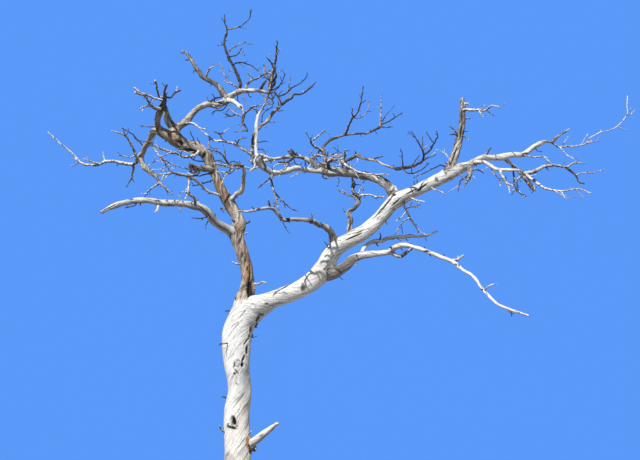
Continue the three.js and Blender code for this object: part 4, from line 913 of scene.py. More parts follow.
def noise(x, y, z, seed=0):
    """Smooth noise from 0 to 1 at many places at once."""
    places = [np.asarray(v, float) for v in (x, y, z)]
    cells = [np.floor(v).astype(np.int64) for v in places]
    shares = [v - c for v, c in zip(places, cells)]
    i, j, k = (s * s * (3 - 2 * s) for s in shares)

    def corner(a, b, c):
        mixed = ((cells[0] + a) * 73856093) ^ ((cells[1] + b) * 19349663) ^ ((cells[2] + c) * 83492791)
        mixed = (mixed ^ (seed * 40503 + 977)) & 0xFFFFFFFF
        mixed = ((mixed ^ (mixed >> 15)) * 0x2C1B3C6D) & 0xFFFFFFFF
        mixed = ((mixed ^ (mixed >> 12)) * 0x297A2D39) & 0xFFFFFFFF
        return (mixed ^ (mixed >> 15)) / 4294967296

    def along_x(b, c):
        low = corner(0, b, c)
        return low + (corner(1, b, c) - low) * i

    front = along_x(0, 0) + (along_x(1, 0) - along_x(0, 0)) * j
    back = along_x(0, 1) + (along_x(1, 1) - along_x(0, 1)) * j
    return front + (back - front) * k


def with_lengths(point, radius):
    """A line through points, with its lengths and directions."""
    steps = np.linalg.norm(np.diff(point, axis=0), axis=1)
    along = np.concatenate([[0.0], np.cumsum(steps)])
    last = len(point) - 1
    index = np.arange(last + 1)
    heading = point[np.minimum(index + 1, last)] - point[np.maximum(index - 1, 0)]
    heading /= np.linalg.norm(heading, axis=1)[:, None]
    return Line(point, radius, along, heading)


def line_of(points, radii, lead=None):
    """A line of wood through points, as the source draws it."""
    knots = np.array(points, float)
    before = 2 * knots[0] - knots[1] if lead is None else lead
    guides = np.vstack([before, knots, 2 * knots[-1] - knots[-2]])
    rows, girths = [], []
    for i in range(len(knots) - 1):
        steps = PER_SPAN + 1 if i == len(knots) - 2 else PER_SPAN
        t = np.arange(steps) / PER_SPAN
        p0, p1, p2, p3 = guides[i:i + 4]
        d0, d1, d2 = (max(np.linalg.norm(b - a) ** 0.5, 1e-4) for a, b in ((p0, p1), (p1, p2), (p2, p3)))
        out = ((p1 - p0) / d0 - (p2 - p0) / (d0 + d1) + (p2 - p1) / d1) * d1
        home = ((p2 - p1) / d1 - (p3 - p1) / (d1 + d2) + (p3 - p2) / d2) * d1
        s = t[:, None]
        squared, cubed = 3 * (p2 - p1) - 2 * out - home, 2 * (p1 - p2) + out + home
        rows.append(p1 + out * s + squared * s ** 2 + cubed * s ** 3)
        girths.append(radii[i] + (radii[i + 1] - radii[i]) * t * t * (3 - 2 * t))
    return with_lengths(np.vstack(rows), np.concatenate(girths))


def resampled(line, spacing, least=2):
    """The same line with its points evenly apart."""
    rings = max(least, round(line.along[-1] / spacing))
    at = np.linspace(0, line.along[-1], rings + 1)
    point = np.stack([np.interp(at, line.along, line.point[:, axis]) for axis in range(3)], axis=1)
    return with_lengths(point, np.interp(at, line.along, line.radius))


def place_on(line, along):
    """The point, the radius and the direction at a length along a line."""
    point = np.array([np.interp(along, line.along, line.point[:, axis]) for axis in range(3)])
    heading = np.array([np.interp(along, line.along, line.heading[:, axis]) for axis in range(3)])
    return point, float(np.interp(along, line.along, line.radius)), heading / np.linalg.norm(heading)


def nearest(line, place):
    """The number of the line's point that the eye sees nearest to a place."""
    across, up = picture(line.point)
    return int(np.argmin(np.hypot(across - place[0], up - place[1])))


# Limbs and twigs as lines, by the source's rule
limb_lines = {}
for name, (carrier, depth, finish, places) in LIMBS.items():
    lead, root, depth_start = None, None, 0.0
    if carrier:
        on = limb_lines[carrier]
        index = nearest(on, places[0])
        root = on.point[index]
        depth_start = root[1]
        if index == len(on.point) - 1:
            lead = on.point[-LEAD]
    shares = np.arange(len(places)) / (len(places) - 1)
    spots = [
        seen(across, up, depth_start + (depth * DEPTH_SCALE - depth_start) * share)
        for (across, up, _), share in zip(places, shares)
    ]
    if root is not None:
        spots[0] = tuple(root)
    radii = [place[2] * (1 + spot[1] / EYE_DISTANCE) for place, spot in zip(places, spots)]
    limb_lines[name] = line_of(spots, radii, lead)

limb_point = np.vstack([line.point for line in limb_lines.values()])
limb_radius = np.concatenate([line.radius for line in limb_lines.values()])
taken = [(limb_point, limb_radius)]


def touches(line, clear, woods):
    """Whether a twig comes too near to wood, past the clear length at its root."""
    free = line.along >= clear
    point, radius = line.point[free], line.radius[free]
    for other_point, other_radius in woods:
        gap = np.linalg.norm(point[:, None] - other_point[None], axis=2)
        if (gap - other_radius[None] - radius[:, None] <= TWIG_CLEAR).any():
            return True
    return False


def within(line, centre, half):
    """Whether a line's points lie in a rounded space."""
    return (np.linalg.norm((line.point - centre) / half, axis=1) <= 1).all()


def in_box(line, reach=0.0):
    """Whether a line lies in the solids' box, with so much room round it."""
    return (line.point - reach >= cad_low).all() and (line.point + reach <= cad_high).all()


def sideways(heading, roll):
    """The direction square to a heading, at an angle round it."""
    across = np.cross((heading[2], 0.3, -heading[0]), heading)
    across /= np.linalg.norm(across)
    return across * math.cos(roll) + np.cross(heading, across) * math.sin(roll)


def side_twig(line, along, chance, rule):
    """A side twig: it leaves its line at an angle, to a seeded side, and bends upwards on its way."""
    point, radius, heading = place_on(line, along)
    angle = SIDE_ANGLE_LOW + (SIDE_ANGLE_HIGH - SIDE_ANGLE_LOW) * chance()
    roll = 2 * math.pi * chance()
    length = rule["short"] + (rule["long"] - rule["short"]) * chance() ** 1.5
    bend = (SIDE_RISE + SIDE_SAG) * chance() - SIDE_SAG
    first = heading * math.cos(angle) + sideways(heading, roll) * math.sin(angle)
    middle = point + first * length / 2
    second = first + np.array((0, 0, bend))
    end = middle + second / np.linalg.norm(second) * length / 2
    root = min(rule["root"], radius * NARROWING)
    return line_of([point, middle, end], [root, root * NARROWING, min(rule["tip"], root)])


def branching(lines, chance, rule, fits, apart=1.0, skip=0.0):
    """Side twigs along each line, at seeded spacings, where they fit."""
    every = rule["every"] * apart
    twigs = []
    for line in lines:
        length = line.along[-1]
        along = max(every * (0.5 + chance()), skip)
        while along < length * 0.95:
            twig = side_twig(line, along, chance, rule)
            if fits(twig):
                twigs.append(twig)
            along += every * (0.7 + chance())
    return twigs


def grown(parents, tip_depth, radius, places, tip_radius):
    """A twig through places, from the point of its parents that is nearest to the first one."""
    spots = [(line, nearest(line, places[0])) for line in parents]

    def miss(spot):
        across, up = picture(spot[0].point[spot[1]])
        return math.hypot(across - places[0][0], up - places[0][1])

    line, index = min(spots, key=miss)
    root = line.point[index]
    last = len(places) - 1
    points = [
        seen(across, up, root[1] + (tip_depth * DEPTH_SCALE - root[1]) * i / last)
        for i, (across, up) in enumerate(places)
    ]
    points[0] = tuple(root)
    return line_of(points, [radius + (tip_radius - radius) * i / last for i in range(last + 1)])


def crooked(line, seed):
    """A twig with small kinks and knobs, which leave its root where it is."""
    fine = resampled(line, max(7.0, line.radius.max() * 1.1), 4)
    size = np.minimum(fine.radius * 0.75 + 2.0, 7.0) * np.minimum(fine.along / 60, 1)
    wave = 26 + fine.radius * 3
    shift = [
        (noise(fine.along / wave, seed * 3.7, axis * 11.3, seed) - 0.5) * 2 * size
        for axis in range(3)
    ]
    knobs = noise(fine.along / (fine.radius * 1.6 + 4), seed * 1.9, 0.5, seed + 7) - 0.62
    knobs = 1 + 0.45 * np.maximum(knobs, 0) * 2.6
    return with_lengths(fine.point + np.stack(shift, axis=1), fine.radius * knobs)


# Finishes
def add(tree, kind, inputs=None, **settings):
    """A shader node with its settings, and inputs that are values or sockets."""
    node = tree.nodes.new(kind)
    for key, value in settings.items():
        setattr(node, key, value)
    for key, value in (inputs or {}).items():
        if isinstance(value, bpy.types.NodeSocket):
            tree.links.new(value, node.inputs[key])
        else:
            node.inputs[key].default_value = value
    return node


def wood_noise(tree, coords, scale, detail, roughness, stretch=1.0, distortion=0.0, shift=0.0):
    """Noise that is drawn out along the grain."""
    place = {"Vector": coords, "Location": (shift,) * 3, "Scale": (1, 1, stretch)}
    kind = {
        "Vector": add(tree, "ShaderNodeMapping", place).outputs[0],
        "Scale": scale,
        "Detail": detail,
        "Roughness": roughness,
        "Distortion": distortion,
    }
    return add(tree, "ShaderNodeTexNoise", kind).outputs["Fac"]


def maths(tree, operation, first, second=0.0):
    return add(tree, "ShaderNodeMath", {0: first, 1: second}, operation=operation).outputs[0]


def span(tree, value, low, high, to_low=0.0, to_high=1.0):
    """A value's smooth share between two ends."""
    ends = {"Value": value, "From Min": low, "From Max": high, "To Min": to_low, "To Max": to_high}
    return add(tree, "ShaderNodeMapRange", ends, interpolation_type="SMOOTHSTEP").outputs[0]


def blend_colour(tree, share, first, second, blend_type="MIX"):
    node = add(tree, "ShaderNodeMix", data_type="RGBA", blend_type=blend_type)
    for socket, value in ((node.inputs[0], share), (node.inputs[6], first), (node.inputs[7], second)):
        if isinstance(value, bpy.types.NodeSocket):
            tree.links.new(value, socket)
        else:
            socket.default_value = value
    return node.outputs[2]


def ramp(tree, value, stops):
    node = add(tree, "ShaderNodeValToRGB", {"Fac": value})
    while len(node.color_ramp.elements) < len(stops):
        node.color_ramp.elements.new(0.5)
    for element, (position, colour) in zip(node.color_ramp.elements, stops):
        element.position = position
        element.color = (*colour, 1)
    return node.outputs["Color"]


def shaded(tree, colour, roughness, height, strength, distance):
    """The last nodes of a dull wooden finish, with its bumps."""
    bump = add(tree, "ShaderNodeBump", {"Strength": strength, "Distance": distance, "Height": height})
    shader = add(tree, "ShaderNodeBsdfPrincipled", {
        "Base Color": colour,
        "Roughness": roughness,
        "Normal": bump.outputs[0],
        "Specular IOR Level": 0.25,
    })
    add(tree, "ShaderNodeOutputMaterial", {"Surface": shader.outputs[0]})


def empty_material(name):
    material = bpy.data.materials.new(name)
    material.use_nodes = True
    material.node_tree.nodes.clear()
    return material


def weathered(name, stops, warm, warm_share, unbleached_and_shaded_underside, relief):
    """Bleached wood: streaks and cracks along the grain, dark old patches, darker undersides as
    less-bleached wood and painted shade, dark hollows and painted shade in the creases at the collars.
    """
    material = empty_material(name)
    tree = material.node_tree
    grain = add(tree, "ShaderNodeAttribute", attribute_name="grain").outputs["Vector"]
    stain_light_and_shade = add(tree, "ShaderNodeAttribute", attribute_name="stain_light_and_shade")
    stain_light_and_shade_channels = add(tree, "ShaderNodeSeparateColor", {0: stain_light_and_shade.outputs["Color"]})
    dark_marks_and_crease_shade, orange, unbleached_and_shaded_share = stain_light_and_shade_channels.outputs
    place = add(tree, "ShaderNodeTexCoord").outputs["Object"]

    fine = wood_noise(tree, grain, 210, 5, 0.68, stretch=0.12)
    streak = wood_noise(tree, grain, 70, 4, 0.62, stretch=0.10, distortion=0.3, shift=3.1)
    broad = wood_noise(tree, grain, 15, 3, 0.6, stretch=0.22, distortion=0.5, shift=7.7)
    split = wood_noise(tree, grain, 40, 2, 0.5, stretch=0.07, distortion=0.3, shift=1.3)
    patch = wood_noise(tree, grain, 24, 4, 0.68, stretch=0.3, distortion=0.5, shift=4.4)
    speck = wood_noise(tree, grain, 85, 2, 0.5, stretch=0.5, shift=9.1)
    blotch = wood_noise(tree, place, 2.6, 3, 0.6, shift=5.0)

    body = maths(tree, "ADD", maths(tree, "MULTIPLY", fine, 0.4), maths(tree, "MULTIPLY", streak, 0.6))
    body = maths(tree, "ADD", body, maths(tree, "MULTIPLY", maths(tree, "SUBTRACT", broad, 0.5), 0.45))
    colour = ramp(tree, body, stops)
    if stops is not BLEACHED:
        share = span(tree, stain_light_and_shade.outputs["Alpha"], -0.2, -0.8)
        colour = blend_colour(tree, share, colour, ramp(tree, body, BLEACHED))
    share = span(tree, blotch, 0.45, 0.66, 0.0, warm_share)
    colour = blend_colour(tree, share, colour, (*warm, 1), "MULTIPLY")

    crack = span(tree, maths(tree, "ABSOLUTE", maths(tree, "SUBTRACT", split, 0.5)), 0.004, 0.022, 1.0, 0.0)
    crack = maths(tree, "MULTIPLY", crack, span(tree, broad, 0.46, 0.58))
    holes = span(tree, speck, 0.66, 0.72)
    old = maths(tree, "MULTIPLY", maths(tree, "SUBTRACT", patch, 0.5), 2.6)
    old = span(tree, maths(tree, "ADD", stain_light_and_shade.outputs["Alpha"], old), 0.35, 0.85)
    # Skin that faces down takes the underside colour: less-bleached wood and painted shade
    low = maths(tree, "MULTIPLY", unbleached_and_shaded_share, span(tree, streak, 0.35, 0.62, 1.0, 0.55))
    colour = blend_colour(tree, maths(tree, "MULTIPLY", old, 0.82), colour, OLD_PATCH)
    colour = blend_colour(tree, low, colour, (*unbleached_and_shaded_underside, 1))
    colour = blend_colour(tree, maths(tree, "MULTIPLY", crack, 0.7), colour, CRACK)
    colour = blend_colour(tree, maths(tree, "MULTIPLY", holes, 0.7), colour, WORMHOLE)
    colour = blend_colour(tree, maths(tree, "MULTIPLY", orange, 0.85), colour, ORANGE_WOOD)
    # Dark marks, and the painted shade in the creases at the collars
    colour = blend_colour(tree, dark_marks_and_crease_shade, colour, DARK_MARK_AND_CREASE_SHADE)

    height = maths(tree, "ADD", maths(tree, "MULTIPLY", fine, 0.4), streak)
    height = maths(tree, "SUBTRACT", height, maths(tree, "MULTIPLY", crack, 0.9))
    shaded(tree, colour, span(tree, streak, 0.3, 0.7, 0.95, 0.72), height, relief, 0.008)
    return material


def twiggy(name, base, other):
    """Bare twigs of one tone, with small flecks."""
    material = empty_material(name)
    tree = material.node_tree
    place = add(tree, "ShaderNodeTexCoord").outputs["Object"]
    fleck = wood_noise(tree, place, 38, 3, 0.65)
    fine = wood_noise(tree, place, 240, 2, 0.6)
    colour = blend_colour(tree, span(tree, fleck, 0.42, 0.6), (*base, 1), (*other, 1))
    shaded(tree, colour, span(tree, fine, 0.3, 0.7, 0.95, 0.78), fine, 0.5, 0.003)
    return material


# Colours of the wood's flaws; the last is also the painted shade in the creases at the collars
OLD_PATCH = (0.06, 0.051, 0.044, 1)
CRACK = (0.035, 0.028, 0.024, 1)
WORMHOLE = (0.05, 0.04, 0.032, 1)
ORANGE_WOOD = (0.40, 0.15, 0.045, 1)
DARK_MARK_AND_CREASE_SHADE = (0.016, 0.012, 0.010, 1)

# Colours of the sound wood, from the dark to the light of its streaks
BLEACHED = [(0.34, (0.36, 0.345, 0.33)), (0.43, (0.62, 0.61, 0.59)), (0.53, (0.83, 0.825, 0.81))]
TANNED = [(0.35, (0.07, 0.056, 0.045)), (0.44, (0.245, 0.203, 0.163)), (0.53, (0.58, 0.535, 0.475))]
GREYED = [(0.39, (0.045, 0.039, 0.034)), (0.465, (0.18, 0.166, 0.15)), (0.55, (0.64, 0.62, 0.59))]

# Finishes of the limbs: streaks, warm blotches and how much of them, undersides as less-bleached wood and
# painted shade, and depth of the relief
FINISHES = {
    "silver_wood": weathered("silver_wood", BLEACHED, (0.91, 0.84, 0.75), 0.55, (0.16, 0.13, 0.108), 0.85),
    "tan_wood": weathered("tan_wood", TANNED, (0.84, 0.68, 0.52), 0.7, (0.14, 0.108, 0.082), 0.95),
    "grey_wood": weathered("grey_wood", GREYED, (0.86, 0.76, 0.64), 0.5, (0.10, 0.083, 0.07), 0.95),
}

# Finishes of the twigs, from light to dark
TWIG_TONES = [
    twiggy("bleached_twig", (0.78, 0.76, 0.73), (0.31, 0.28, 0.25)),
    twiggy("grey_twig", (0.40, 0.375, 0.345), (0.09, 0.079, 0.07)),
    twiggy("dark_twig", (0.11, 0.097, 0.087), (0.034, 0.030, 0.027)),
]


# Meshes
def frames_of(line, upright=False):
    """Two directions across the line at each of its rings, carried along without twisting."""
    heading = line.heading.copy()
    if upright:
        heading[0] = (0, 0, 1)
    across = np.array((1.0, 0.0, 0.0))
    if abs(heading[0] @ across) > 0.9:
        across = np.array((0.0, 1.0, 0.0))
    rows = []
    for direction in heading:
        across = across - direction * (across @ direction)
        across = across / math.sqrt(across @ across)
        rows.append(across)
    rows = np.array(rows)
    return rows, np.cross(rows, heading)


def give(mesh, name, kind, values):
    """Puts a value for every point of a mesh where a material can read it."""
    key = "vector" if kind == "FLOAT_VECTOR" else "color"
    flat = np.ascontiguousarray(values, np.float32).ravel()
    mesh.attributes.new(name, kind, "POINT").data.foreach_set(key, flat)


def finished(mesh, materials, nodes=()):
    """Makes the mesh a piece of the tree, in the place of the nodes that it stands for."""
    piece = bpy.data.objects.new(mesh.name, mesh)
    bpy.context.collection.objects.link(piece)
    for material in materials:
        mesh.materials.append(material)
    mesh.polygons.foreach_set("use_smooth", [True] * len(mesh.polygons))
    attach(piece, "root")
    if nodes:
        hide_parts(*nodes)


def spun_rod(name, rings, sides):
    """A closed rod of radius 1 and length 1 with so many rings, spun from a stepped outline."""
    bm = bmesh.new()
    corners = [bm.verts.new(corner) for corner in ((0, 0, 0), (1, 0, 0), (1, 0, 1), (0, 0, 1))]
    edges = [bm.edges.new(pair) for pair in zip(corners, corners[1:])]
    bmesh.ops.subdivide_edges(bm, edges=[edges[1]], cuts=rings - 1)
    outline = bm.verts[:] + bm.edges[:]
    bmesh.ops.spin(
        bm, geom=outline, cent=(0, 0, 0), axis=(0, 0, 1), angle=2 * math.pi, steps=sides, use_merge=True
    )
    bmesh.ops.remove_doubles(bm, verts=bm.verts, dist=1e-5)
    bmesh.ops.recalc_face_normals(bm, faces=bm.faces)
    mesh = bpy.data.meshes.new(name)
    bm.to_mesh(mesh)
    bm.free()
    return mesh


def grain_noise(form, u, v, lane, seed, start=0):
    """A form of the relief: smooth noise from -0.5 to 0.5, round the limb and along its grain."""
    return noise(form["round"] * u, form["round"] * v, form["along"] * lane + start, seed) - 0.5


def places_on_rod(mesh, rings):
    """The ring and the angle of each point of a spun rod, and whether it lies on the skin."""
    unit = np.empty(len(mesh.vertices) * 3)
    mesh.vertices.foreach_get("co", unit)
    unit = unit.reshape(-1, 3)
    ring = np.rint(unit[:, 2] * rings).astype(int)
    return ring, np.arctan2(unit[:, 1], unit[:, 0]), np.hypot(unit[:, 0], unit[:, 1]) > 0.5


def knobs_on(length, girth, seed, angle, along, radius):
    """Knots and old branch scars, raised or sunk, by seeded places."""
    chance = seeded(seed)
    raised = np.zeros_like(along)
    dark = np.zeros_like(along)
    for _ in range(int(length / (2.6 * girth + 45))):
        at, turn = length * chance(), 2 * math.pi * chance()
        size, sunk = (0.22 + 0.3 * chance()) * girth, chance() < 0.3
        gap = np.angle(np.exp(1j * (angle - turn))) * radius
        share = np.exp(-(((along - at) / (1.5 * size)) ** 2 + (gap / size) ** 2))
        raised += share * size * (-0.5 if sunk else 0.34)
        dark = np.maximum(dark, share ** 2 * (0.75 if sunk else 0.22))
    return raised, dark


def from_wood(place, point, radius):
    """How far places lie outside a run of wood."""
    gap = np.linalg.norm(place[:, None] - point[None], axis=2) - radius[None]
    return gap.min(axis=1)


def collar(gap, girth):
    """How far skin swells at a gap from wood of a girth, and the painted shade of the creases there."""
    deep = CREASE_SHADE if girth < STOUT else STOUT_CREASE_SHADE
    bulge = COLLAR_HEIGHT * girth * np.exp(-np.maximum(gap, 0) / (COLLAR_WIDTH * girth))
    return bulge, deep * np.exp(-((gap / (6 + 0.09 * girth)) ** 2))


def collars(nodes, skin):
    """The swelling of the skin round each bough that grows from it, and the painted shade in the creases
    there.
    """
    out, painted_crease_shade = np.zeros(len(skin)), np.zeros(len(skin))
    for child, (carrier, _, _, places) in LIMBS.items():
        if carrier not in nodes or child in nodes:
            continue
        line = limb_lines[child]
        girth = line.radius[0]
        held = limb_lines[carrier].radius[nearest(limb_lines[carrier], places[0])]
        part = (line.along > 0.5 * held) & (line.along < held + 3.5 * girth)
        near = np.linalg.norm(skin - line.point[0], axis=1) < held + 4 * girth
        if near.any():
            bulge, crease_shade_near = collar(from_wood(skin[near], line.point[part], line.radius[part]), girth)
            out[near] += bulge
            painted_crease_shade[near] = np.maximum(painted_crease_shade[near], crease_shade_near)
    return out, painted_crease_shade


def joined(name, nodes):
    """The lines of nodes that carry on from one another as one line, as stout as the photo shows it."""
    lines = [limb_lines[node] for node in nodes]
    point = np.vstack([lines[0].point] + [line.point[1:] for line in lines[1:]])
    girths = np.concatenate([lines[0].radius] + [line.radius[1:] for line in lines[1:]])
    whole = with_lengths(point, girths)
    if name in STOUTNESS:
        share = np.interp(whole.along / whole.along[-1], *STOUTNESS[name])
        whole = with_lengths(point, girths * share)
    return whole


def kinked(line, seed, held, widest):
    """A bough's middle line with small kinks beyond its carrier's skin, and its radius with knuckles."""
    centre = line.point.copy()
    out = line.along - held
    kink = np.minimum(line.radius * 0.42 + 1, 8.5) * np.clip(out / 60, 0, 1) * min(1, 42 / widest)
    wave = 34 + 1.6 * widest
    for axis in range(3):
        centre[:, axis] += (noise(line.along / wave, seed * 2.3, axis * 5.1, seed) - 0.5) * 2 * kink
    knuckle = np.maximum(noise(line.along / (18 + 1.1 * widest), seed * 4.1, 2.5, seed) - 0.5, 0)
    return centre, line.radius * (1 + 0.75 * knuckle * min(1, 45 / widest) - 0.05)


def marked(name, seed, skin, facing, shift, dark):
    """The marks of a piece: the skin's shift and darkness with them, and how orange they make it."""
    skin_across, skin_up = picture(skin)
    warm = np.zeros_like(dark)
    for across, up, half_width, half_height, lean, depth, how_dark, how_warm in MARKS.get(name, []):
        right, rise = skin_across - across, skin_up - up
        reach = ((right * math.cos(lean) - rise * math.sin(lean)) / half_width) ** 2
        reach = reach + ((right * math.sin(lean) + rise * math.cos(lean)) / half_height) ** 2
        reach = reach * (0.55 + 0.9 * noise(right / 11, rise / 17, seed + up / 90, 3))
        share = np.exp(-np.minimum(reach, 30) ** 1.5) * facing
        rim = np.exp(-((reach - 2.2) / 0.9) ** 2) * facing
        shift = shift + (-depth * share + 0.18 * max(depth, 0) * rim)
        if depth < 0:
            dark = np.maximum(dark, 0.8 * np.exp(-((reach - 1.5) / 0.5) ** 2) * facing)
        dark = np.maximum(dark, np.clip(share * 1.8, 0, 1) * how_dark)
        warm = np.maximum(warm, np.clip(share * 2.2, 0, 1) * how_warm)
    return shift, dark, warm


def limb_piece(name, nodes, finish, roughness, seed):
    """One limb, or several that carry on from one another: a spun rod bent along its line, with relief."""
    whole = joined(name, nodes)
    foot = nodes[0] == "trunk"
    widest = float(whole.radius.max())
    sides = int(min(MOST_SIDES, max(LEAST_SIDES, 2 * math.pi * widest / SIDE_WIDTH)))
    spacing = min(WIDEST_RING, max(NARROWEST_RING, widest * 0.22))
    fine = resampled(whole, TRUNK_RING if foot else spacing)
    rings = len(fine.along) - 1
    if foot:
        centre = fine.point.copy()
        radius = fine.radius + FLARE * np.exp(-centre[:, 2] / FLARE_HEIGHT)
    else:
        carrier = limb_lines[LIMBS[nodes[0]][0]]
        held = carrier.radius[nearest(carrier, LIMBS[nodes[0]][3][0])]
        centre, radius = kinked(fine, seed, held, widest)
    lanes = np.concatenate([[0], np.cumsum(np.diff(fine.along) / fine.radius[1:])])
    across, side = frames_of(with_lengths(centre, radius), foot)

    mesh = spun_rod(name, rings, TRUNK_SIDES if foot else sides)
    ring, angle, rim = places_on_rod(mesh, rings)
    along, around, lane = fine.along[ring], radius[ring], lanes[ring]

    slope = np.full(rings + 1, GRAIN_SLOPE.get(name, USUAL_SLOPE))
    if foot:
        slope = np.interp(fine.along, *SPIRAL)
    turn = 2 * math.pi * along / TWIST_LENGTH
    swell = 1 + OVAL * np.sin(2 * angle + turn) + OVAL * 0.6 * np.sin(3 * angle - turn)
    if foot:
        buttress = BUTTRESS_SWELL * np.exp(-centre[ring, 2] / FLARE_HEIGHT)
        swell += buttress * np.cos(BUTTRESSES * angle)
    phase = angle + np.concatenate([[0], np.cumsum(np.diff(lanes) * slope[1:])])[ring]
    u, v = np.cos(phase), np.sin(phase)
    lumps = grain_noise(LUMPS, u, v, lane, seed, seed)
    flutes = grain_noise(FLUTES, u, v, lane, seed + 1)
    grooves = np.maximum(1 - np.abs(grain_noise(GROOVES, u, v, lane, seed + 2)) / GROOVES["width"], 0)
    grooves = grooves * np.clip(lumps * 4 + 0.5, 0, 1) * (CALM_GROOVES if foot else 1.0)
    relief = LUMPS["depth"] * lumps + (CALM_FLUTES if foot else FLUTES["depth"]) * flutes
    shift = around * roughness * (relief - GROOVES["depth"] * grooves)
    dark = 0.35 * grooves * min(1, widest / 60)
    raised, scars = knobs_on(fine.along[-1], widest, seed * 31 + 5, angle, along, around)
    shift += raised * min(roughness, 1.0) * (CALM_KNOBS if foot else 1.0)
    dark = np.maximum(dark, scars * (CALM_SCARS if foot else 1.0))

    outward = across[ring] * np.cos(angle)[:, None] + side[ring] * np.sin(angle)[:, None]
    skin = centre[ring] + outward * (around * swell + shift)[:, None]
    # Collars swell the skin, and their creases get painted shade, also at this piece's own root
    swelling, painted_crease_shade = collars(nodes, skin)
    if not foot:
        at_root = along < held + 3 * fine.radius[0]
        bulge, crease_shade_near = collar(from_wood(skin[at_root], carrier.point, carrier.radius), fine.radius[0])
        swelling[at_root] += bulge
        painted_crease_shade[at_root] = np.maximum(painted_crease_shade[at_root], crease_shade_near)
    shift += swelling
    dark = np.maximum(dark, painted_crease_shade * (0.75 + 0.5 * (lumps + flutes)))
    facing = np.clip(-outward[:, 1] * 4 - 0.4, 0, 1)
    shift, dark, warm = marked(name, seed, skin, facing, shift, dark)

    torn = np.zeros_like(along)
    if name not in HELD_TIPS:
        reach = radius[-1] * TORN_REACH
        near = np.clip((along - (fine.along[-1] - reach)) / reach, 0, 1) ** 2
        torn = near * radius[-1] * TORN_DEPTH * (noise(1.7 * u, 1.7 * v, seed * 1.1, seed + 4) - 0.55)
        dark = np.maximum(dark, near * 0.25)
    place = centre[ring] + outward * (np.maximum(around * swell + shift, 0.25 * around) * rim)[:, None]
    place += fine.heading[ring] * (torn * rim)[:, None]
    if name not in HELD_TIPS:
        core = ~rim & (ring == rings)
        place[core] -= fine.heading[-1] * radius[-1] * TORN_CORE
        dark[core] = 0.9
    if foot:
        place[:, 2] = np.maximum(place[:, 2], 0.0)
        place[ring == 0, 2] = 0.0
    mesh.vertices.foreach_set("co", (place / 1000).ravel())
    mesh.update()

    width = fine.radius[ring]
    grain = np.stack([u * width, v * width, along + GRAIN_APART * seed], axis=1)
    give(mesh, "grain", "FLOAT_VECTOR", grain / 1000)
    # Skin that faces down is darkened: less-bleached wood and painted shade
    unbleached_and_shaded_underside = np.clip(-outward[:, 2] * 1.5 - 0.15, 0, 1) * (CALM_SHADED_UNDERSIDE if foot else 1.0)
    usual = ([0, 1], [USUAL_AGE[finish]] * 2)
    old = np.interp(along / fine.along[-1], *AGES.get(name, usual))
    give(mesh, "stain_light_and_shade", "FLOAT_COLOR", np.stack([dark, warm, unbleached_and_shaded_underside, old], axis=1))
    finished(mesh, [FINISHES[finish + "_wood"]], nodes)


def twig_arrays(line, seed):
    """One twig as a closed tube: its places, its faces and how many tones darker each face is. Faces that
    face down are darker, as less-bleached wood and painted shade.
    """
    girth = line.radius[0]
    sides = 8 if girth > 9 else 6 if girth > 5.5 else 5
    across, side = frames_of(line)
    rings = len(line.along)
    angle = np.arange(sides) * 2 * math.pi / sides
    u, v = np.cos(angle), np.sin(angle)
    outward = across[:, None] * u[None, :, None] + side[:, None] * v[None, :, None]
    bumps = 1 + 0.3 * (noise(2 * u[None], 2 * v[None] + seed, line.along[:, None] / 14) - 0.5)
    skin = line.point[:, None] + outward * (line.radius[:, None] * bumps)[:, :, None]
    last = line.point[-1:] + line.heading[-1] * line.radius[-1] * 0.6
    places = np.vstack([skin.reshape(-1, 3), line.point[:1], last])
    ring, spoke = (v.ravel() for v in np.meshgrid(np.arange(rings - 1), np.arange(sides), indexing="ij"))
    here, there = ring * sides + spoke, ring * sides + (spoke + 1) % sides
    faces = np.stack([here, there, there + sides, here + sides], axis=1).tolist()
    root, tip, base = rings * sides, rings * sides + 1, (rings - 1) * sides
    for j in range(sides):
        k = (j + 1) % sides
        faces.append([root, k, j])
        faces.append([tip, base + j, base + k])
    # Faces that face down go one or two tones darker: less-bleached wood and painted shade
    rise = (outward[:-1, :, 2] + np.roll(outward[:-1, :, 2], -1, axis=1)).ravel() / 2
    rise += 0.7 * (noise(line.along[ring] / 9, spoke * 3.7, seed) - 0.5)
    darker = (rise < -0.25).astype(int) + (rise < -0.7)
    return places, faces, np.concatenate([darker, np.zeros(2 * sides, int)])


def twig_piece(name, twigs, nodes=()):
    """Many twigs joined in one piece. Each is a line, with the number of its tone."""
    places, faces, tones = [], [], []
    count = 0
    for index, (line, tone) in enumerate(twigs):
        place, face, darker = twig_arrays(crooked(line, index % 97 + 1), index % 53 + 1)
        faces += [[count + corner for corner in corners] for corners in face]
        tones += np.minimum(tone + darker, 2).tolist()
        count += len(place)
        places.append(place)
    places = np.clip(np.vstack(places), cad_low, cad_high)
    mesh = bpy.data.meshes.new(name)
    mesh.from_pydata((places / 1000).tolist(), [], faces)
    mesh.polygons.foreach_set("material_index", tones)
    mesh.update()
    bm = bmesh.new()
    bm.from_mesh(mesh)
    bmesh.ops.recalc_face_normals(bm, faces=bm.faces)
    bm.to_mesh(mesh)
    bm.free()
    finished(mesh, TWIG_TONES, nodes)


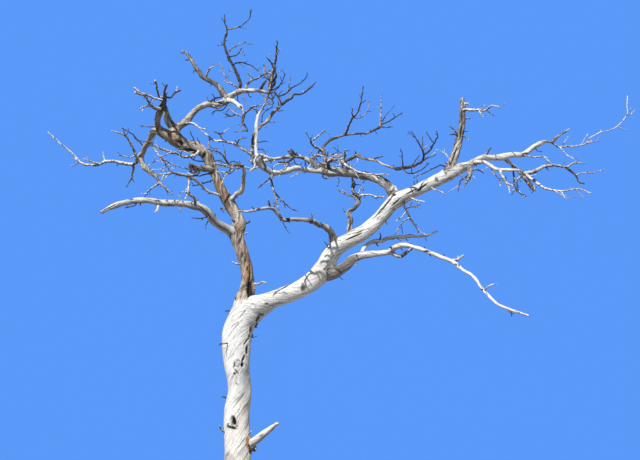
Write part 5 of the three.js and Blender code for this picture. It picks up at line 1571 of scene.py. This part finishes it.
# Limbs. Those whose tips carry twigs or other wood aren't torn off there
HELD_TIPS = {
    "main_stem", "left_stem", "sag_limb", "far_left_bough_wood", "tail_bough_wood", "white_bough_wood",
    "riser_wood", "neck_bough_wood", "dark_bough_wood", "crown_bough_wood", "knot_bough_wood",
    "end_bough_wood", "under_bough_wood", "arc_bough_wood", "rail_wood",
}
chained = {node for _, nodes, _, _ in CHAINS for node in nodes}
pieces_of_wood = list(CHAINS)
pieces_of_wood += [
    (name + "_wood", [name], LIMBS[name][2], ROUGHNESS.get(name, USUAL_ROUGHNESS))
    for name in LIMBS if name not in chained
]
for number, (name, nodes, finish, rough) in enumerate(pieces_of_wood):
    limb_piece(name, nodes, finish, rough, number + 1)


# Masses of twigs. The shares of chances that give a twig the lightest and the middle finish, by tone
TONE_SHARES = {
    "white": (1, 1), "pale": (0.7, 0.94), "silver": (0.42, 0.82),
    "grey": (0.18, 0.62), "dark": (0.04, 0.4), "black": (0, 0),
}


def toned(lines, chance, tone):
    """Lines with the numbers of their tones, most of them near one tone."""
    return [(line, int(np.searchsorted(TONE_SHARES[tone], chance()))) for line in lines]


def stouter(lines, share, least):
    """Twigs as thick as they look against the sky."""
    return [
        line._replace(radius=np.maximum(line.radius * share, min(least, line.radius[0])))
        for line in lines
    ]


def space_of(lines):
    """The middle and the half sizes of the rounded space that a mass may fill."""
    corners = np.vstack([line.point for line in lines])
    low, high = corners.min(0), corners.max(0)
    half = (high - low) * 0.5 * math.sqrt(2) + ROOM
    half[1] = max(half[1], HALF_DEPTH)
    return (low + high) / 2, half


def mass_piece(name, tuft):
    """A mass of twigs by the source's rule, two more generations on it, and all of it in one piece."""
    shoots = [grown([limb_lines[tuft["carrier"]]], tuft["depth"], tuft["girth"], tuft["stem"], TWIG_TIP + 1)]
    for depth, radius, places in tuft["shoots"]:
        shoots.append(grown(shoots, depth, radius, places, TWIG_TIP))
    centre, half = space_of(shoots)
    woods = []
    for point, radius in taken:
        near = (np.abs(point - centre) < half + 200).all(axis=1)
        if near.any():
            woods.append((point[near], radius[near]))

    def fits(line, clear=ROOT_CLEAR):
        return within(line, centre, half) and not touches(line, clear, woods)

    def fits_in_box(line):
        return in_box(line, line.radius[:, None]) and fits(line)

    shoots = shoots[:1] + [line for line in shoots[1:] if fits(line, SHOOT_CLEAR)]
    chance = seeded(tuft["seed"])
    sides = branching(shoots, chance, SIDE, fits)
    main = shoots + sides
    taken.append((np.vstack([line.point for line in main]), np.concatenate([line.radius for line in main])))
    usual = (USUAL_STOUTNESS, tuft["finish"], LEAST, USUAL_SPACING)
    stout, tone, least, apart = LOOKS.get(name, usual)
    second = branching(main, chance, FINE, fits_in_box, apart)
    third = branching(main + second, chance, SPRIG, fits_in_box, apart)
    twigs = toned(stouter(shoots, stout, least) + stouter(sides, stout, LEAST), chance, tone)
    twigs += toned(second + third, chance, tuft["finish"] if tone in ("dark", "grey") else tone)
    twig_piece(name + "_fine", twigs, [name])


for name, tuft in MASSES.items():
    mass_piece(name, tuft)


# Twigs and spurs that spring straight from the limbs
def spurs(line, start):
    """Short broken spurs on a limb's skin, at seeded places."""
    made = []
    along = start
    while along < line.along[-1] - 30:
        point, radius, heading = place_on(line, along)
        angle, roll = 0.7 + 0.7 * chance(), 2 * math.pi * chance()
        length = SPUR["short"] + (SPUR["long"] - SPUR["short"]) * chance() ** 2 + 0.35 * radius
        outward = sideways(heading, roll)
        root = point + outward * radius * 0.75
        first = heading * math.cos(angle) + outward * math.sin(angle)
        bent = first + np.array((0, 0, 0.5 * chance() - 0.2))
        bent /= np.linalg.norm(bent)
        middle = root + first * length / 2
        girth = min(SPUR["root"] * (0.6 + 0.9 * chance()), radius * 0.45)
        girths = [girth, girth * NARROWING, max(girth * 0.35, SPUR["tip"])]
        spur = line_of([root, middle, middle + bent * length / 2], girths)
        if in_box(spur, spur.radius[:, None]):
            made.append(spur)
        along += (SPUR["every"] + 3.2 * radius) * (0.45 + 1.1 * chance())
    return made


chance = seeded(LOOSE_SEED)
loose = {"dark": [], "pale": []}


def clear_of_limbs(line):
    """Whether a twig stays in the solids' box and off the limbs."""
    return in_box(line) and not touches(line, ROOT_CLEAR, [(limb_point, limb_radius)])


def keep_loose(twig, tone, rule, skip):
    """Puts a twig with its side twigs in the piece of its tone."""
    small = branching([twig], chance, rule, clear_of_limbs, skip=skip)
    loose["pale" if tone in ("white", "pale") else "dark"] += toned([twig, *small], chance, tone)


for limb, offset, radius, tone, places in LIMB_TWIGS:
    carrier = limb_lines[limb]
    index = nearest(carrier, places[0])
    depth = (carrier.point[index][1] + offset) / DEPTH_SCALE
    twig = grown([carrier], depth, radius, places, max(LIMB_TWIG_TIP, radius * 0.5))
    keep_loose(twig, tone, ON_LIMB, carrier.radius[index] + 20)

for limb, radius, tone, places in REACHING:
    if limb:
        carriers = limb_lines[limb].point
    spots = [seen(*place) for place in places]
    spots[0] = tuple(carriers[np.argmin(np.linalg.norm(carriers - spots[0], axis=1))])
    twig = line_of(spots, np.linspace(radius, max(REACHING_TIP, radius * 0.6), len(spots)))
    carriers = twig.point if limb else np.vstack([carriers, twig.point])
    keep_loose(twig, tone, ON_REACHING, REACHING_CLEAR)

for name, line in limb_lines.items():
    start = TRUNK_SPURS_FROM if name == "trunk" else 1.6 * line.radius[0] + 60
    piece, tone = ("pale", "silver") if LIMBS[name][2] == "silver" else ("dark", "grey")
    loose[piece] += toned(spurs(line, start), chance, tone)
twig_piece("dark_spurs", loose["dark"])
twig_piece("pale_spurs", loose["pale"])

# Camera, where the eye stands, looking up at the crown. Standard keeps the contrast of white wood and sky
camera = bpy.data.objects.new("camera", bpy.data.cameras.new("camera"))
camera.data.lens = 70
camera.data.sensor_width = 36
camera.location = (EYE_ACROSS / 1000, -EYE_DISTANCE / 1000, EYE_HEIGHT / 1000)
camera.rotation_euler = (math.radians(105), 0, 0)
bpy.context.collection.objects.link(camera)
bpy.context.scene.camera = camera
bpy.context.scene.view_settings.view_transform = "Standard"


def sun(name, direction, energy, spread, colour):
    """A far light that shines along a direction."""
    lamp = bpy.data.lights.new(name, "SUN")
    lamp.energy = energy
    lamp.angle = math.radians(spread)
    lamp.color = colour
    holder = bpy.data.objects.new(name, lamp)
    holder.rotation_euler = Vector(direction).to_track_quat("-Z", "Y").to_euler()
    holder.location = (0, 0, 12)
    bpy.context.collection.objects.link(holder)


sun("key_light", (0.40, 0.80, -0.80), energy=4.8, spread=0.5, colour=(1.0, 0.985, 0.96))

# The sky that shows is bluer than the light that it gives
SKY_BLUE = (0.105, 0.32, 0.94, 1)
SKY_LIGHT = (0.50, 0.57, 0.68, 1)
world = bpy.data.worlds.new("pale_backdrop")
world.use_nodes = True
backdrop = world.node_tree.nodes["Background"]
backdrop.inputs["Color"].default_value = SKY_LIGHT
backdrop.inputs["Strength"].default_value = 0.42
sky = add(world.node_tree, "ShaderNodeBackground", {"Color": SKY_BLUE, "Strength": 1.0})
shown = add(world.node_tree, "ShaderNodeLightPath").outputs["Is Camera Ray"]
both = add(world.node_tree, "ShaderNodeMixShader", {0: shown, 1: backdrop.outputs[0], 2: sky.outputs[0]})
world.node_tree.links.new(both.outputs[0], world.node_tree.nodes["World Output"].inputs["Surface"])
bpy.context.scene.world = world

# Floor
FLOOR_RADIUS = 7.5
FLOOR_MIDDLE = (1.0, 0.0, 0.0)
bm = bmesh.new()
bmesh.ops.create_circle(bm, cap_ends=True, segments=96, radius=FLOOR_RADIUS)
bmesh.ops.translate(bm, verts=bm.verts, vec=FLOOR_MIDDLE)
floor_mesh = bpy.data.meshes.new("floor")
bm.to_mesh(floor_mesh)
bm.free()
floor = bpy.data.objects.new("floor", floor_mesh)
bpy.context.collection.objects.link(floor)
floor_finish = bpy.data.materials.new("pale_floor")
floor_finish.use_nodes = True
floor_shader = floor_finish.node_tree.nodes["Principled BSDF"]
floor_shader.inputs["Base Color"].default_value = (0.48, 0.475, 0.46, 1)
floor_shader.inputs["Roughness"].default_value = 0.9
floor_mesh.materials.append(floor_finish)
floor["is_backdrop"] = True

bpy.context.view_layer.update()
